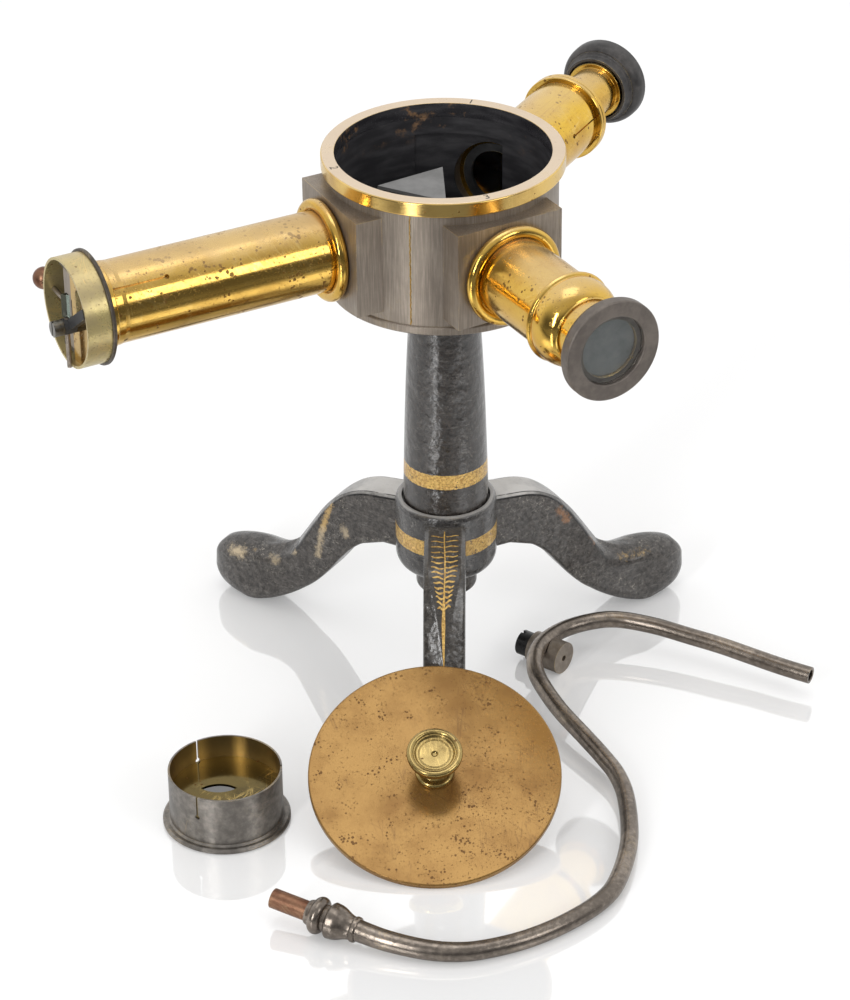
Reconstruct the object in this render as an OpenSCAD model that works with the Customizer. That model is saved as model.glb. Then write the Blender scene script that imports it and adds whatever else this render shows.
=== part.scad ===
// Table spectroscope: three tubes round a prism drum on an iron tripod, with its lid,
// its slit cap and the bent gas pipe that lie beside it.
// Millimetres, +Z up. The origin is on the table, under the middle of the whole group.

/* [Stand] */
// Where the pillar stands, left to right of the middle of the group
stand_x = 3.7; // [-20:0.1:20]
// Where the pillar stands, front to back of the middle of the group
stand_y = 39.3; // [0:0.1:60]
// Reach of each leg from the pillar axis to the end of its toe
leg_reach = 130.5; // [120:0.5:145]
// Width of a leg at the hub
leg_w = 19; // [14:0.5:22]
// Width of a toe
toe_w = 22; // [16:0.5:26]
// Height of a toe
toe_h = 33; // [31:0.5:35]
// Direction of the first leg, the other two follow at thirds of a turn
leg_az = 28.5; // [0:0.5:90]
// How far the hub stands out round the pillar's foot
hub_wall = 3.9; // [3:0.1:8]
// Height of the hub's seat for the pillar above the table
hub_seat_z = 87; // [84:0.5:95]
// Height of the rounded underside of the hub
hub_bottom_z = 52; // [48:0.5:56]
// Height of the lip round the pillar seat
hub_lip_h = 2; // [1:0.5:4]
// Diameter of the pillar at its foot
pillar_d = 39.4; // [34:0.2:40]
// Diameter of the pillar at its head
pillar_head_d = 31.2; // [26:0.2:36]
// Length of the pillar between the hub and the drum
pillar_h = 109; // [90:1:130]
// Diameter of the tenon that passes through the hub
tenon_d = 16; // [10:0.5:20]
// Diameter of the nut under the hub
nut_d = 28.4; // [22:0.2:34]
// Height of the nut under the hub
nut_h = 12; // [8:0.5:14]

/* [Drum] */
// Outer diameter of the drum wall
drum_d = 102; // [96:0.5:108]
// Thickness of the drum wall
drum_wall = 3; // [2:0.5:4]
// Height of the drum wall's rim above the blocks
rim_gap = 4.8; // [4:0.1:8]
// How far the base plate stands out past the drum wall
base_lip = 0.95; // [0.4:0.05:3]
// Thickness of the base plate
base_t = 4; // [3:0.5:6]
// Thickness of the boss under the base plate
boss_t = 4; // [2:0.5:6]
// Diameter of the boss under the base plate
boss_d = 40; // [34:1:60]
// How far the brass ring stands out past the drum wall
ring_lip = 3; // [2:0.1:4]
// How far the brass ring reaches inside the drum wall
ring_in = 0.15; // [0.1:0.05:2]
// Height of the brass ring
ring_h = 6.9; // [4:0.1:9]
// Height of the tubes' axis above the base plate
axis_h = 25; // [24:0.5:28]
// Width of a square tube block
block_w = 52.2; // [44:0.2:56]
// Height of a square tube block
block_h = 45.4; // [42:0.2:48]
// Distance of a block's flat face outside the drum wall
block_out = 5.5; // [4:0.1:8]
// Gap between the base plate and a block
block_gap = 4; // [2:0.5:6]
// Half of the arc that a window takes out of the drum wall, in degrees
window_half = 24.7; // [22:0.1:26]

/* [Tubes] */
// Direction of the collimator, in degrees round the drum
slit_az = 207.4; // [200:0.1:215]
// Sideways offset of the collimator from the drum's axis
slit_offset = -2.5; // [-4:0.1:4]
// Direction of the scale tube, in degrees round the drum
scale_az = -60; // [-66:0.1:-54]
// Direction of the telescope, in degrees round the drum
view_az = 62; // [56:0.1:68]
// Turn of the telescope's window away from the telescope, in degrees
window_turn = 18.5; // [0:0.5:19]
// Outer diameter of the three main tubes
tube_d = 36.5; // [30:0.1:38]
// Wall of the three main tubes
tube_wall = 1.6; // [1:0.1:2.5]
// How far the collimator and the scale tube reach in past the outside of the drum wall
tube_in = 2; // [1:0.1:2.5]
// Wall of the lens cells at the tubes' inner ends
cell_wall = 2.45; // [2:0.05:4]
// Distance of the collimator tube's outer end from the drum's axis
slit_tube_end = 163.5; // [140:0.5:180]
// Distance of the scale tube's outer end from the drum's axis
scale_tube_end = 102; // [90:0.5:120]
// Distance of the telescope tube's outer end from the drum's axis
view_tube_end = 122; // [110:0.5:140]
// How far the collars stand out round the tubes
collar_w = 5.05; // [4:0.05:6]
// Thickness of the collars
collar_t = 5.4; // [3:0.1:7]
// Length of the saw cut that lets the collimator tube grip its draw tube
saw_len = 25; // [15:1:35]
// Width of the saw cuts
saw_w = 0.8; // [0.5:0.1:1.2]

/* [Slit head] */
// How far the slit head's draw tube reaches into the collimator
slit_draw_in = 45; // [35:1:60]
// How far the thin flange stands out past the slit pot
flange_lip = 1.2; // [0.8:0.1:4]
// Outer diameter of the slit pot
pot_d = 48.8; // [46:0.1:52]
// Wall of the slit pot
pot_wall = 1.2; // [0.8:0.1:2]
// Depth of the slit pot from its rim to the flange
pot_h = 11.1; // [10.5:0.1:16]
// Thickness of the slit jaws
jaw_t = 3; // [2.5:0.1:4]
// Depth of the jaws' face below the pot's rim
jaw_depth = 2.9; // [2.5:0.1:4]
// Width of the moving jaw
jaw_w = 7; // [5:0.1:9]
// Length of the moving jaw
jaw_len = 36; // [30:0.5:38]
// Length of the slit
slit_len = 8.7; // [4:0.1:12]
// Height of the slit's middle above the tube's axis
slit_up = 1.5; // [0:0.1:3]
// Width of the slit when the jaws are closed
slit_w = 0.7; // [0.3:0.1:1.2]
// Diameter of the slit screw
slit_screw_d = 2.2; // [1.6:0.1:2.4]
// Diameter of the slit screw's round knob
slit_knob_d = 10; // [7:0.5:12]
// Gap between the slit screw's boss and its round knob
knob_gap = 0.4; // [0.2:0.1:4]
// Width of the bracket that carries the comparison rod
comp_bar_w = 4.4; // [3.5:0.1:5]
// Slope of that bracket, in degrees
comp_bar_slope = 37; // [25:1:45]
// Diameter of the bracket's end, where the rod passes through
comp_boss_d = 7.2; // [6.5:0.1:8]
// Length of the screw head that clamps the rod
comp_head_len = 4.6; // [3:0.1:6]
// Diameter of the comparison rod
comp_rod_d = 2.2; // [1.6:0.1:2.6]
// Length of the comparison prism
comp_prism_h = 11; // [8:0.5:14]
// Side of the comparison prism
comp_prism_w = 2.8; // [2.4:0.1:4]

/* [Scale tube and telescope] */
// Step on the radius from the scale tube's bore down to its draw tube
scale_step = 2.2; // [1.5:0.1:3]
// Length of the scale bezel's bell
bezel_len = 16.5; // [14:0.5:20]
// How far the bead on the scale bezel stands out round the tube
bezel_lip = 2.75; // [2:0.05:4]
// Width of the dark ring round its window glass
scale_ring_w = 7.4; // [5:0.1:9]
// Thickness of the dark ring on the scale tube
scale_ring_t = 7.4; // [6:0.1:10]
// Distance from the bezel's nose to the dark ring's front
scale_out = 20.1; // [14:0.1:24]
// How far the window glass reaches past the draw tube
glass_lap = 1.05; // [0.8:0.05:2]
// Diameter of the telescope's draw tube
view_draw_d = 23.4; // [18:0.1:28]
// How far the telescope's end flange reaches into its tube
view_flange_in = 24; // [16:1:30]
// How far the telescope's end flange stands out round the tube
view_flange_lip = 2.35; // [1.5:0.05:5]
// How far the eyepiece's draw tube reaches into the telescope
eye_tube_in = 46; // [40:1:52]
// Diameter of the eyecup
eyecup_d = 41; // [36:0.1:46]
// Distance from the telescope tube's end to the eyecup's rim
eyecup_out = 48.2; // [38:0.1:58]
// Length of the eyecup
eyecup_len = 14; // [12:0.1:18]

/* [Prism] */
// Side of the prism
prism_side = 33; // [26:0.5:36]
// Height of the prism
prism_h = 37.2; // [30:0.2:40]
// Height of the prism table
table_t = 4; // [2:0.5:5]
// Diameter of the prism table
table_d = 44; // [40:0.5:56]
// Thickness of the plate on the prism
plate_t = 1.6; // [1:0.1:3]
// Gap between the prism and its plate, filled by cement
plate_gap = 0.3; // [0.1:0.1:0.6]
// Offset of the prism from the drum's axis, away from the scale side
prism_x = -9.4; // [-12:0.1:-6]
// Offset of the prism from the drum's axis, towards the back
prism_y = 2; // [-3:0.1:5]
// Direction that the prism's exit face looks, in degrees
prism_az = 2; // [-5:0.5:8]

/* [Lid] */
// Wall of the lid's edge
lid_wall = 1.8; // [1:0.1:3]
// Thickness of the lid's plate
lid_t = 1.2; // [1:0.1:2]
// Height of the lid's edge
lid_edge_h = 2.9; // [2:0.1:4]
// Clearance of the lid's edge round the brass ring
lid_clear = 0.2; // [0.1:0.1:0.5]
// Lean of the lid on the front toe, in degrees
lid_tilt = 24.3; // [20:0.1:30]
// Clearance between the lid and the toe that it leans on
lid_lean_gap = 0.2; // [0.1:0.1:0.4]
// Place of the lid's middle, right of the pillar
lid_x = -6.8; // [-10:0.1:4]
// Diameter of the lid's knob
lid_knob_d = 24.3; // [18:0.1:30]
// Height of the lid's knob
lid_knob_h = 19; // [12:0.5:24]

/* [Cap] */
// Gap between the lid and the cap that stands left of it
cap_gap = 8.2; // [3:0.1:20]
// Place of the cap, behind the pillar
cap_y = -130; // [-140:0.1:-120]
// Clearance of the cap round the slit pot
cap_clear = 0.1; // [0.05:0.05:0.6]
// Wall of the cap
cap_wall = 0.8; // [0.6:0.1:1.5]
// Height of the cap
cap_h = 27; // [22:0.5:32]
// How far the cap's bottom flange stands out
cap_flange_w = 3.2; // [2:0.1:6]
// Thickness of the cap's bottom flange
cap_flange_t = 2.6; // [2:0.1:4]
// Depth of the cap's inner plate below its rim
cap_plate_depth = 11; // [8:0.5:14]
// Length of the spring cuts in the cap's rim
cap_cut_len = 10.5; // [6:0.5:12]
// Direction of the first spring cut, in degrees
cap_cut_az = 243; // [230:1:255]

/* [Gas pipe] */
// Diameter of the pipe at its open end
pipe_d = 8; // [7:0.1:9]
// Diameter of the pipe at its fitting
pipe_thick_d = 9.6; // [8:0.1:10]
// Diameter of the fitting's larger bead
fitting_d = 16.6; // [14:0.1:18]
// Diameter of the hose nozzle
nozzle_d = 8.8; // [7:0.1:10]
// Length of the hose nozzle
nozzle_len = 17; // [12:0.5:24]
// Diameter of the clamp barrel
barrel_d = 15.5; // [14:0.1:17]
// Length of the clamp barrel
barrel_len = 17; // [12:0.5:20]
// Diameter of the clamp screw's head
clamp_head_d = 12; // [9:0.5:14]

/* [Hidden] */
$fn = 96;

// Clearance of a sliding or turning fit, on the radius
run = 0.05;
// Clearance of a seat that is soldered or screwed, on the radius
seat = 0.05;

// Heights above the table
boss_z = hub_seat_z + pillar_h;
base_z = boss_z + boss_t;
floor_z = base_z + base_t;
axis_z = floor_z + axis_h;
block_z = floor_z + block_gap;
rim_z = block_z + block_h + rim_gap;

// Radii
drum_r = drum_d / 2;
drum_bore_r = drum_r - drum_wall;
base_r = drum_r + base_lip;
ring_r = drum_r + ring_lip;
ring_bore_r = drum_bore_r - ring_in;
block_face = drum_r + block_out;
tube_start = drum_r - tube_in;
tube_r = tube_d / 2;
tube_bore_r = tube_r - tube_wall;
draw_r = tube_bore_r - run;
// The telescope's tube stops outside the drum wall, which reaches a little across its mouth
view_tube_start = drum_r + 0.3;
pot_r = pot_d / 2;
pot_bore_r = pot_r - pot_wall;
lens_r = tube_bore_r - cell_wall;

// Stations along the collimator's axis
shoulder_t = 3.5;
flange_t = 1.8;
pot_back = slit_tube_end + 0.5 + shoulder_t + flange_t;
pot_front = pot_back + pot_h;
jaw_front = pot_front - jaw_depth;
jaw_back = jaw_front - jaw_t;
jaw_mid = (jaw_front + jaw_back) / 2;
pot_floor_t = 1.5;

// Place of the comparison rod's clamp, sideways and up from the collimator's axis, and of the rod along it
comp_side = 1.7;
comp_up = -5.2;
comp_rod_at = pot_front + 0.4;
comp_boss_front = comp_rod_at + comp_rod_d / 2 + 1;
comp_stud_d = 2.4;

// Small shared sizes
edge = 0.6;
cell_t = 7;

// Points on an arc, and points on a cubic curve through its four control points
function arc(c, r, a0, a1, n = 8) =
    [for (i = [0:n]) let(a = a0 + (a1 - a0) * i / n) c + r * [cos(a), sin(a)]];
function curve(p, n = 10) =
    [for (i = [0:n]) let(t = i / n, u = 1 - t)
        u * u * u * p[0] + 3 * u * u * t * p[1] + 3 * u * t * t * p[2] + t * t * t * p[3]];

// Frames. An arm's local Z runs outward along a tube, local X points down and local Y is to its left
module at_stand() { translate([stand_x, stand_y, 0]) children(); }
module on_arm(az, off = 0) {
    at_stand() translate([0, 0, axis_z]) rotate([0, 0, az]) translate([0, off, 0]) rotate([0, 90, 0])
        children();
}
module turned(points) { rotate_extrude() polygon(points); }
module sleeve(r_in, r_out, from, to) {
    translate([0, 0, from]) difference() {
        cylinder(r = r_out, h = to - from);
        translate([0, 0, -1]) cylinder(r = r_in, h = to - from + 2);
    }
}
module sector(r_in, r_out, from, to, a0, a1) {
    mid = (a0 + a1) / 2;
    reach = 2 * r_out;
    intersection() {
        sleeve(r_in, r_out, from, to);
        translate([0, 0, from]) linear_extrude(to - from)
            polygon([[0, 0], reach * [cos(a0), sin(a0)], reach * [cos(mid), sin(mid)],
                reach * [cos(a1), sin(a1)]]);
    }
}

// Tripod

hub_r = pillar_d / 2 + hub_wall;
leg_top_z = hub_seat_z - 1.5;
leg_root_z = hub_bottom_z + 5.5;
leg_root_r = hub_r * 0.6;
valley_r = leg_reach - 48.5;
valley_z = toe_h + 6.5;

// Side view of a leg, as distance from the pillar against height
function leg_side() = concat(
    [[leg_root_r, leg_top_z + 0.3]],
    curve([[hub_r + 12, leg_top_z - 2.5], [hub_r + 34, leg_top_z - 5.5],
           [valley_r - 14, valley_z + 16.5], [valley_r, valley_z]]),
    curve([[valley_r, valley_z], [valley_r + 6, toe_h + 1.4], [valley_r + 14, toe_h - 1.6],
        [valley_r + 22, toe_h - 1]], 8),
    curve([[valley_r + 22, toe_h - 1], [leg_reach - 16.5, toe_h + 0.2], [leg_reach, toe_h - 1.4],
        [leg_reach, toe_h * 0.44]], 10),
    curve([[leg_reach, toe_h * 0.44], [leg_reach, toe_h * 0.18], [leg_reach - 6.5, 0],
        [leg_reach - 15.5, 0]], 8),
    curve([[leg_reach - 22.5, 0], [leg_reach - 40.5, 4], [valley_r - 6, 14], [valley_r - 17.5, 27]], 8),
    curve([[valley_r - 17.5, 27], [valley_r - 25, 35], [hub_r + 28, leg_root_z - 11.5],
        [hub_r + 18, leg_root_z - 5]], 8),
    curve([[hub_r + 18, leg_root_z - 5], [hub_r + 12, leg_root_z - 1.5], [hub_r + 6, leg_root_z - 0.5],
        [leg_root_r, leg_root_z]], 6)
);

// Half of a leg seen from above, as distance from the pillar against half width
toe_start_r = leg_reach - 30.5;
toe_round_r = leg_reach - 17.5;
function leg_half_plan() = concat(
    [[0, leg_w / 2], [valley_r - 4, leg_w / 2]],
    curve([[valley_r - 2, leg_w / 2], [valley_r + 6, leg_w / 2], [toe_start_r - 6, toe_w / 2],
        [toe_start_r, toe_w / 2]], 5),
    [for (a = [0:15:90]) [toe_round_r + (leg_reach - toe_round_r) * sin(a), toe_w / 2 * cos(a)]]
);
function mirrored(points) = [for (i = [len(points) - 1:-1:0]) [points[i][0], -points[i][1]]];

// A toe seen from its end: its sole has round corners
sole_r = toe_w * 0.43;
function toe_end() = concat(
    arc([toe_w / 2 - sole_r, sole_r], sole_r, -90, 0, 8),
    [[toe_w / 2, hub_seat_z], [-toe_w / 2, hub_seat_z]],
    arc([sole_r - toe_w / 2, sole_r], sole_r, 180, 270, 8)
);

module leg(az) {
    sole_from = valley_r - 4;
    rotate([0, 0, az]) intersection() {
        rotate([90, 0, 0]) linear_extrude(toe_w + 2, center = true) polygon(leg_side());
        linear_extrude(hub_seat_z) polygon(concat(leg_half_plan(), mirrored(leg_half_plan())));
        union() {
            translate([0, -toe_w / 2, 0]) cube([sole_from, toe_w, hub_seat_z]);
            translate([sole_from, 0, 0]) rotate([90, 0, 90])
                linear_extrude(leg_reach - sole_from) polygon(toe_end());
        }
    }
}

module tripod_foot() color([0.11, 0.11, 0.11]) at_stand() difference() {
    lip_r = pillar_d / 2 + 0.5;
    union() {
        turned(concat(
            [[0, hub_bottom_z], [hub_r - 7.5, hub_bottom_z]],
            curve([[hub_r - 7.5, hub_bottom_z], [hub_r - 2.5, hub_bottom_z + 1], [hub_r, hub_bottom_z + 4],
                   [hub_r, hub_bottom_z + 9]], 6),
            [[hub_r, hub_seat_z - 0.5], [hub_r - 0.6, hub_seat_z + hub_lip_h - 0.7],
             [hub_r - 1.5, hub_seat_z + hub_lip_h], [lip_r + 0.4, hub_seat_z + hub_lip_h],
             [lip_r, hub_seat_z + hub_lip_h - 0.5], [lip_r, hub_seat_z], [0, hub_seat_z]]
        ));
        for (k = [0:2]) leg(leg_az + 120 * k);
    }
    cylinder(d = tenon_d + 2 * seat, h = 200);
}

// Pillar with the tenon that goes through the hub
module pillar() color([0.10, 0.10, 0.10]) at_stand() {
    foot_r = pillar_d / 2;
    head_r = pillar_head_d / 2;
    nut_z = hub_bottom_z - nut_h;
    turned(concat(
        [[0, nut_z + 2], [tenon_d / 2 - 1, nut_z + 2], [tenon_d / 2, nut_z + 3], [tenon_d / 2, hub_seat_z],
         [foot_r, hub_seat_z]],
        curve([[foot_r, hub_seat_z], [foot_r - 0.3, hub_seat_z + pillar_h * 0.35],
               [head_r + 1.8, hub_seat_z + pillar_h * 0.7], [head_r, boss_z - 2]], 10),
        [[head_r, boss_z], [0, boss_z]]
    ));
}

module pillar_nut() color([0.12, 0.12, 0.12]) at_stand() {
    bottom = hub_bottom_z - nut_h;
    nut_r = nut_d / 2;
    turned(concat(
        [[tenon_d / 2 + seat, bottom]],
        arc([nut_r - 3, bottom + 3], 3, -90, 0, 5),
        [[nut_r, hub_bottom_z - 1], [nut_r - 1, hub_bottom_z], [tenon_d / 2 + seat, hub_bottom_z]]
    ));
}

// Drum

bolt_d = 10;
bolt_head_d = 20;
bolt_head_t = 2.5;

module drum_base() color([0.30, 0.28, 0.25]) at_stand() difference() {
    turned([
        [0, boss_z], [boss_d / 2 - edge, boss_z], [boss_d / 2, boss_z + edge], [boss_d / 2, base_z],
        [base_r - edge, base_z], [base_r, base_z + edge], [base_r, floor_z - edge],
        [base_r - edge, floor_z], [0, floor_z]
    ]);
    translate([0, 0, boss_z - 1]) cylinder(d = bolt_d + 2 * seat, h = boss_t + base_t + 2);
    translate([0, 0, floor_z - bolt_head_t]) cylinder(d = bolt_head_d + 2 * seat, h = bolt_head_t + 1);
}

// Bolt that holds the drum on the pillar, under the prism table
module drum_bolt() color([0.62, 0.52, 0.28]) at_stand() {
    translate([0, 0, floor_z - bolt_head_t]) cylinder(d = bolt_head_d, h = bolt_head_t);
    translate([0, 0, boss_z]) cylinder(d = bolt_d, h = boss_t + base_t - bolt_head_t);
}

window_z = block_z;
window_h = block_h - 3.4;
view_window_az = view_az + window_turn;

module drum_wall() color([0.32, 0.29, 0.26]) at_stand() difference() {
    sleeve(drum_bore_r, drum_r, floor_z, rim_z);
    for (az = [slit_az, scale_az, view_window_az])
        sector(drum_bore_r - 2, drum_r + 2, window_z, window_z + window_h, az - window_half,
            az + window_half);
}

module top_ring() color([0.80, 0.66, 0.32]) at_stand() {
    top = rim_z + ring_h;
    turned([
        [ring_bore_r, rim_z], [ring_r - edge, rim_z], [ring_r, rim_z + edge], [ring_r, top - edge],
            [ring_r - edge, top],
        [ring_bore_r + edge / 2, top], [ring_bore_r, top - edge / 2]
    ]);
}

// A tube block: a flat-faced square body outside the drum, with a spigot that fills its window
spigot_t = drum_wall - 1;
module tube_block(az, off, window_az) {
    gap = 0.2;
    a0 = window_az - window_half + gap;
    a1 = window_az + window_half - gap;
    low = window_z + gap;
    high = window_z + window_h - gap;
    body_half = asin(block_w / 2 / drum_r) - 2;
    difference() {
        union() {
            difference() {
                rotate([0, 0, az]) translate([drum_r / 2, -block_w / 2, block_z])
                    cube([block_face - drum_r / 2, block_w, block_h]);
                translate([0, 0, block_z - 1]) cylinder(r = drum_r, h = block_h + 2);
            }
            sector(drum_r - spigot_t, drum_r, low, high, a0, a1);
            sector(drum_r - spigot_t, drum_r + 0.5, low, high, max(a0, az - body_half),
                min(a1, az + body_half));
        }
        translate([0, 0, axis_z]) rotate([0, 0, az]) translate([0, off, 0]) rotate([0, 90, 0])
            cylinder(r = tube_r + seat, h = block_face + 10);
    }
}
module collimator_block() color([0.30, 0.27, 0.24]) at_stand() tube_block(slit_az, slit_offset, slit_az);
module scale_block() color([0.30, 0.27, 0.24]) at_stand() tube_block(scale_az, 0, scale_az);
module telescope_block() color([0.30, 0.27, 0.24]) at_stand() tube_block(view_az, 0, view_window_az);

// Rounded collar on a block's face
module collar() {
    bead_r = collar_t / 2;
    mid_r = tube_r + collar_w - bead_r;
    inner = tube_r + seat;
    turned(concat(
        [[inner, block_face], [mid_r, block_face]],
        arc([mid_r, block_face + bead_r], bead_r, -90, 140, 16),
        [[inner, block_face + bead_r + 1.4]]
    ));
}
module collimator_collar() color([0.80, 0.64, 0.28]) on_arm(slit_az, slit_offset) collar();
module scale_collar() color([0.80, 0.64, 0.28]) on_arm(scale_az) collar();
module telescope_collar() color([0.80, 0.64, 0.28]) on_arm(view_az) collar();

// Main tubes
hole_r = 1.1;

module collimator_tube() color([0.82, 0.66, 0.30]) on_arm(slit_az, slit_offset) difference() {
    turned([
        [tube_bore_r, tube_start], [tube_r, tube_start], [tube_r, slit_tube_end - 5],
            [tube_r + 0.35, slit_tube_end - 3],
        [tube_r + 0.35, slit_tube_end], [tube_bore_r, slit_tube_end]
    ]);
    rotate([0, 0, 135]) {
        translate([0, -saw_w / 2, slit_tube_end - saw_len]) cube([tube_r + 2, saw_w, saw_len + 1]);
        translate([0, 0, slit_tube_end - saw_len]) rotate([0, 90, 0])
            cylinder(r = hole_r, h = tube_r + 2, $fn = 24);
    }
}

module scale_tube() color([0.82, 0.66, 0.30]) on_arm(scale_az)
    sleeve(tube_bore_r, tube_r, tube_start, scale_tube_end);

module telescope_tube() color([0.82, 0.66, 0.30]) on_arm(view_az) difference() {
    sleeve(tube_bore_r, tube_r, view_tube_start, view_tube_end);
    rotate([0, 0, 255]) {
        translate([0, -saw_w / 2, view_tube_end - saw_len]) cube([tube_r + 2, saw_w, saw_len + 1]);
        translate([0, 0, view_tube_end - saw_len]) rotate([0, 90, 0])
            cylinder(r = hole_r, h = tube_r + 2, $fn = 24);
    }
}

// Lens cells at the tubes' inner ends, each with a lens seated against the cell's lip
lip_r = lens_r - 1.6;
lip_t = 2;
module lens_cell(start) {
    turned([
        [lip_r, start + 0.5], [tube_bore_r - seat, start + 0.5], [tube_bore_r - seat, start + cell_t],
        [lens_r + seat, start + cell_t], [lens_r + seat, start + lip_t], [lip_r, start + lip_t]
    ]);
}
module lens(r, from, t, bulge) {
    turned(concat(
        [[0, from]], [for (i = [1:6]) [r * i / 6, from + bulge * (i / 6) * (i / 6)]],
        [for (i = [6:-1:1]) [r * i / 6, from + t - bulge * (i / 6) * (i / 6)]], [[0, from + t]]
    ));
}
module cell_lens(start) {
    bulge = 1.2;
    lens(lens_r, start + lip_t + seat - bulge * pow(lip_r / lens_r, 2), 5, bulge);
}
module collimator_cell() color([0.12, 0.12, 0.12]) on_arm(slit_az, slit_offset) lens_cell(tube_start);
module collimator_lens() color([0.75, 0.85, 0.85, 0.4]) on_arm(slit_az, slit_offset) cell_lens(tube_start);
module scale_cell() color([0.12, 0.12, 0.12]) on_arm(scale_az) lens_cell(tube_start);
module scale_lens() color([0.75, 0.85, 0.85, 0.4]) on_arm(scale_az) cell_lens(tube_start);
module objective_cell() color([0.12, 0.12, 0.12]) on_arm(view_az) lens_cell(view_tube_start);
module objective_lens() color([0.75, 0.85, 0.85, 0.4]) on_arm(view_az) cell_lens(view_tube_start);

// Prism on its table

prism_r = prism_side / sqrt(3);
prism_z = floor_z + table_t;

module triangle(r) { polygon([for (k = [0:2]) r * [cos(60 + 120 * k), sin(60 + 120 * k)]]); }
module at_prism(z) { at_stand() translate([prism_x, prism_y, z]) rotate([0, 0, prism_az]) children(); }

module prism_table() color([0.14, 0.13, 0.12]) at_stand() turned([
    [0, floor_z], [table_d / 2, floor_z], [table_d / 2, prism_z - edge], [table_d / 2 - edge, prism_z],
        [0, prism_z]
]);
module prism() color([0.72, 0.84, 0.74, 0.6]) at_prism(prism_z) linear_extrude(prism_h) triangle(prism_r);
module prism_plate() color([0.55, 0.56, 0.56]) at_prism(prism_z + prism_h + plate_gap)
    linear_extrude(plate_t) triangle(prism_r + 0.6);

// Slit head, which slides in the end of the collimator

module slit_draw_tube() color([0.78, 0.62, 0.28]) on_arm(slit_az, slit_offset)
    sleeve(draw_r - 1.2, draw_r, slit_tube_end - slit_draw_in, slit_tube_end + 0.5 + shoulder_t);

module slit_flange() color([0.62, 0.48, 0.26]) on_arm(slit_az, slit_offset) {
    back = slit_tube_end + 0.5;
    wide = pot_r + flange_lip;
    turned([
        [draw_r + seat, back], [tube_r + 1.9, back], [tube_r + 2.2, back + 0.4], [tube_r + 2.2, back + 2.6],
        [tube_r + 1.6, back + shoulder_t], [wide - 0.3, back + shoulder_t], [wide, back + shoulder_t + 0.4],
        [wide, pot_back - 0.4], [wide - 0.3, pot_back], [draw_r - 1.2, pot_back],
        [draw_r - 1.2, back + shoulder_t + seat], [draw_r + seat, back + shoulder_t + seat]
    ]);
}

screw_boss_r = 3.2;
screw_boss_out = 3.6;
knob_neck = 1;
slit_knob_out = pot_r + screw_boss_out + knob_gap + knob_neck + slit_knob_d / 2;
module slit_pot() color([0.76, 0.66, 0.36]) on_arm(slit_az, slit_offset) difference() {
    union() {
        sleeve(pot_bore_r, pot_r, pot_back, pot_front);
        translate([0, 0, jaw_mid]) rotate([90, 0, 0]) translate([0, 0, pot_bore_r + 0.4])
            cylinder(r = screw_boss_r, h = pot_wall - 0.4 + screw_boss_out);
    }
    translate([0, 0, pot_back]) cylinder(r = pot_bore_r, h = pot_h + 1);
    translate([0, 0, jaw_mid]) rotate([90, 0, 0])
        cylinder(d = slit_screw_d + 2 * run, h = pot_r + 10, $fn = 48);
    translate([0, comp_side, comp_rod_at]) rotate([0, 90, 0])
        cylinder(d = comp_rod_d + 2 * run, h = pot_r + 5, $fn = 48);
    translate([0, comp_side - comp_rod_d / 2 - run, comp_rod_at])
        cube([pot_r + 5, comp_rod_d + 2 * run, 5]);
}

guide_w = 2.4;
guide_in = -0.1;
module slit_floor() color([0.25, 0.20, 0.15]) on_arm(slit_az, slit_offset) {
    guide_len = jaw_w + 4;
    difference() {
        translate([0, 0, pot_back]) cylinder(r = pot_bore_r - seat, h = pot_floor_t);
        translate([-slit_len / 2 - slit_up - 2, -2.5, pot_back - 1])
            cube([slit_len + 4, 5, pot_floor_t + 2]);
    }
    for (side = [0, 1]) mirror([side, 0, 0]) intersection() {
        translate([jaw_len / 2 + 2 * run, -guide_len, pot_back + pot_floor_t])
            cube([guide_w, guide_len + guide_in, jaw_front - pot_back - pot_floor_t]);
        translate([0, 0, pot_back]) cylinder(r = pot_bore_r - seat, h = pot_h);
    }
}

// The fixed jaw fills the pot on one side of the slit; the slit is a notch in its edge
module fixed_jaw() color([0.82, 0.62, 0.26]) on_arm(slit_az, slit_offset) difference() {
    intersection() {
        translate([0, 0, jaw_back]) cylinder(r = pot_bore_r - seat, h = jaw_t);
        translate([-pot_r, 0, jaw_back - 1]) cube([pot_d, pot_r, jaw_t + 2]);
    }
    translate([-slit_len / 2 - slit_up, -1, jaw_back - 1]) cube([slit_len, 1 + slit_w, jaw_t + 2]);
}

module moving_jaw() color([0.82, 0.64, 0.28]) on_arm(slit_az, slit_offset) difference() {
    translate([-jaw_len / 2, -jaw_w, jaw_back]) cube([jaw_len, jaw_w - run, jaw_t]);
    translate([0, 0, jaw_mid]) rotate([90, 0, 0]) translate([0, 0, 1.8])
        cylinder(d = slit_screw_d + 2 * run, h = jaw_w, $fn = 48);
}

screw_in = 3.3;
module slit_screw() color([0.45, 0.40, 0.34]) on_arm(slit_az, slit_offset)
    translate([0, 0, jaw_mid]) rotate([90, 0, 0]) translate([0, 0, screw_in])
        cylinder(d = slit_screw_d, h = slit_knob_out - screw_in, $fn = 48);

module slit_knob() color([0.50, 0.36, 0.24]) on_arm(slit_az, slit_offset)
    translate([0, 0, jaw_mid]) rotate([90, 0, 0]) translate([0, 0, slit_knob_out]) difference() {
        union() {
            sphere(d = slit_knob_d);
            translate([0, 0, -slit_knob_d / 2 - knob_neck]) cylinder(r = 2.6, h = 3);
        }
        translate([0, 0, -slit_knob_d / 2 - 2])
            cylinder(d = slit_screw_d + 2 * seat, h = slit_knob_d / 2 + 2, $fn = 48);
    }

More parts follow.
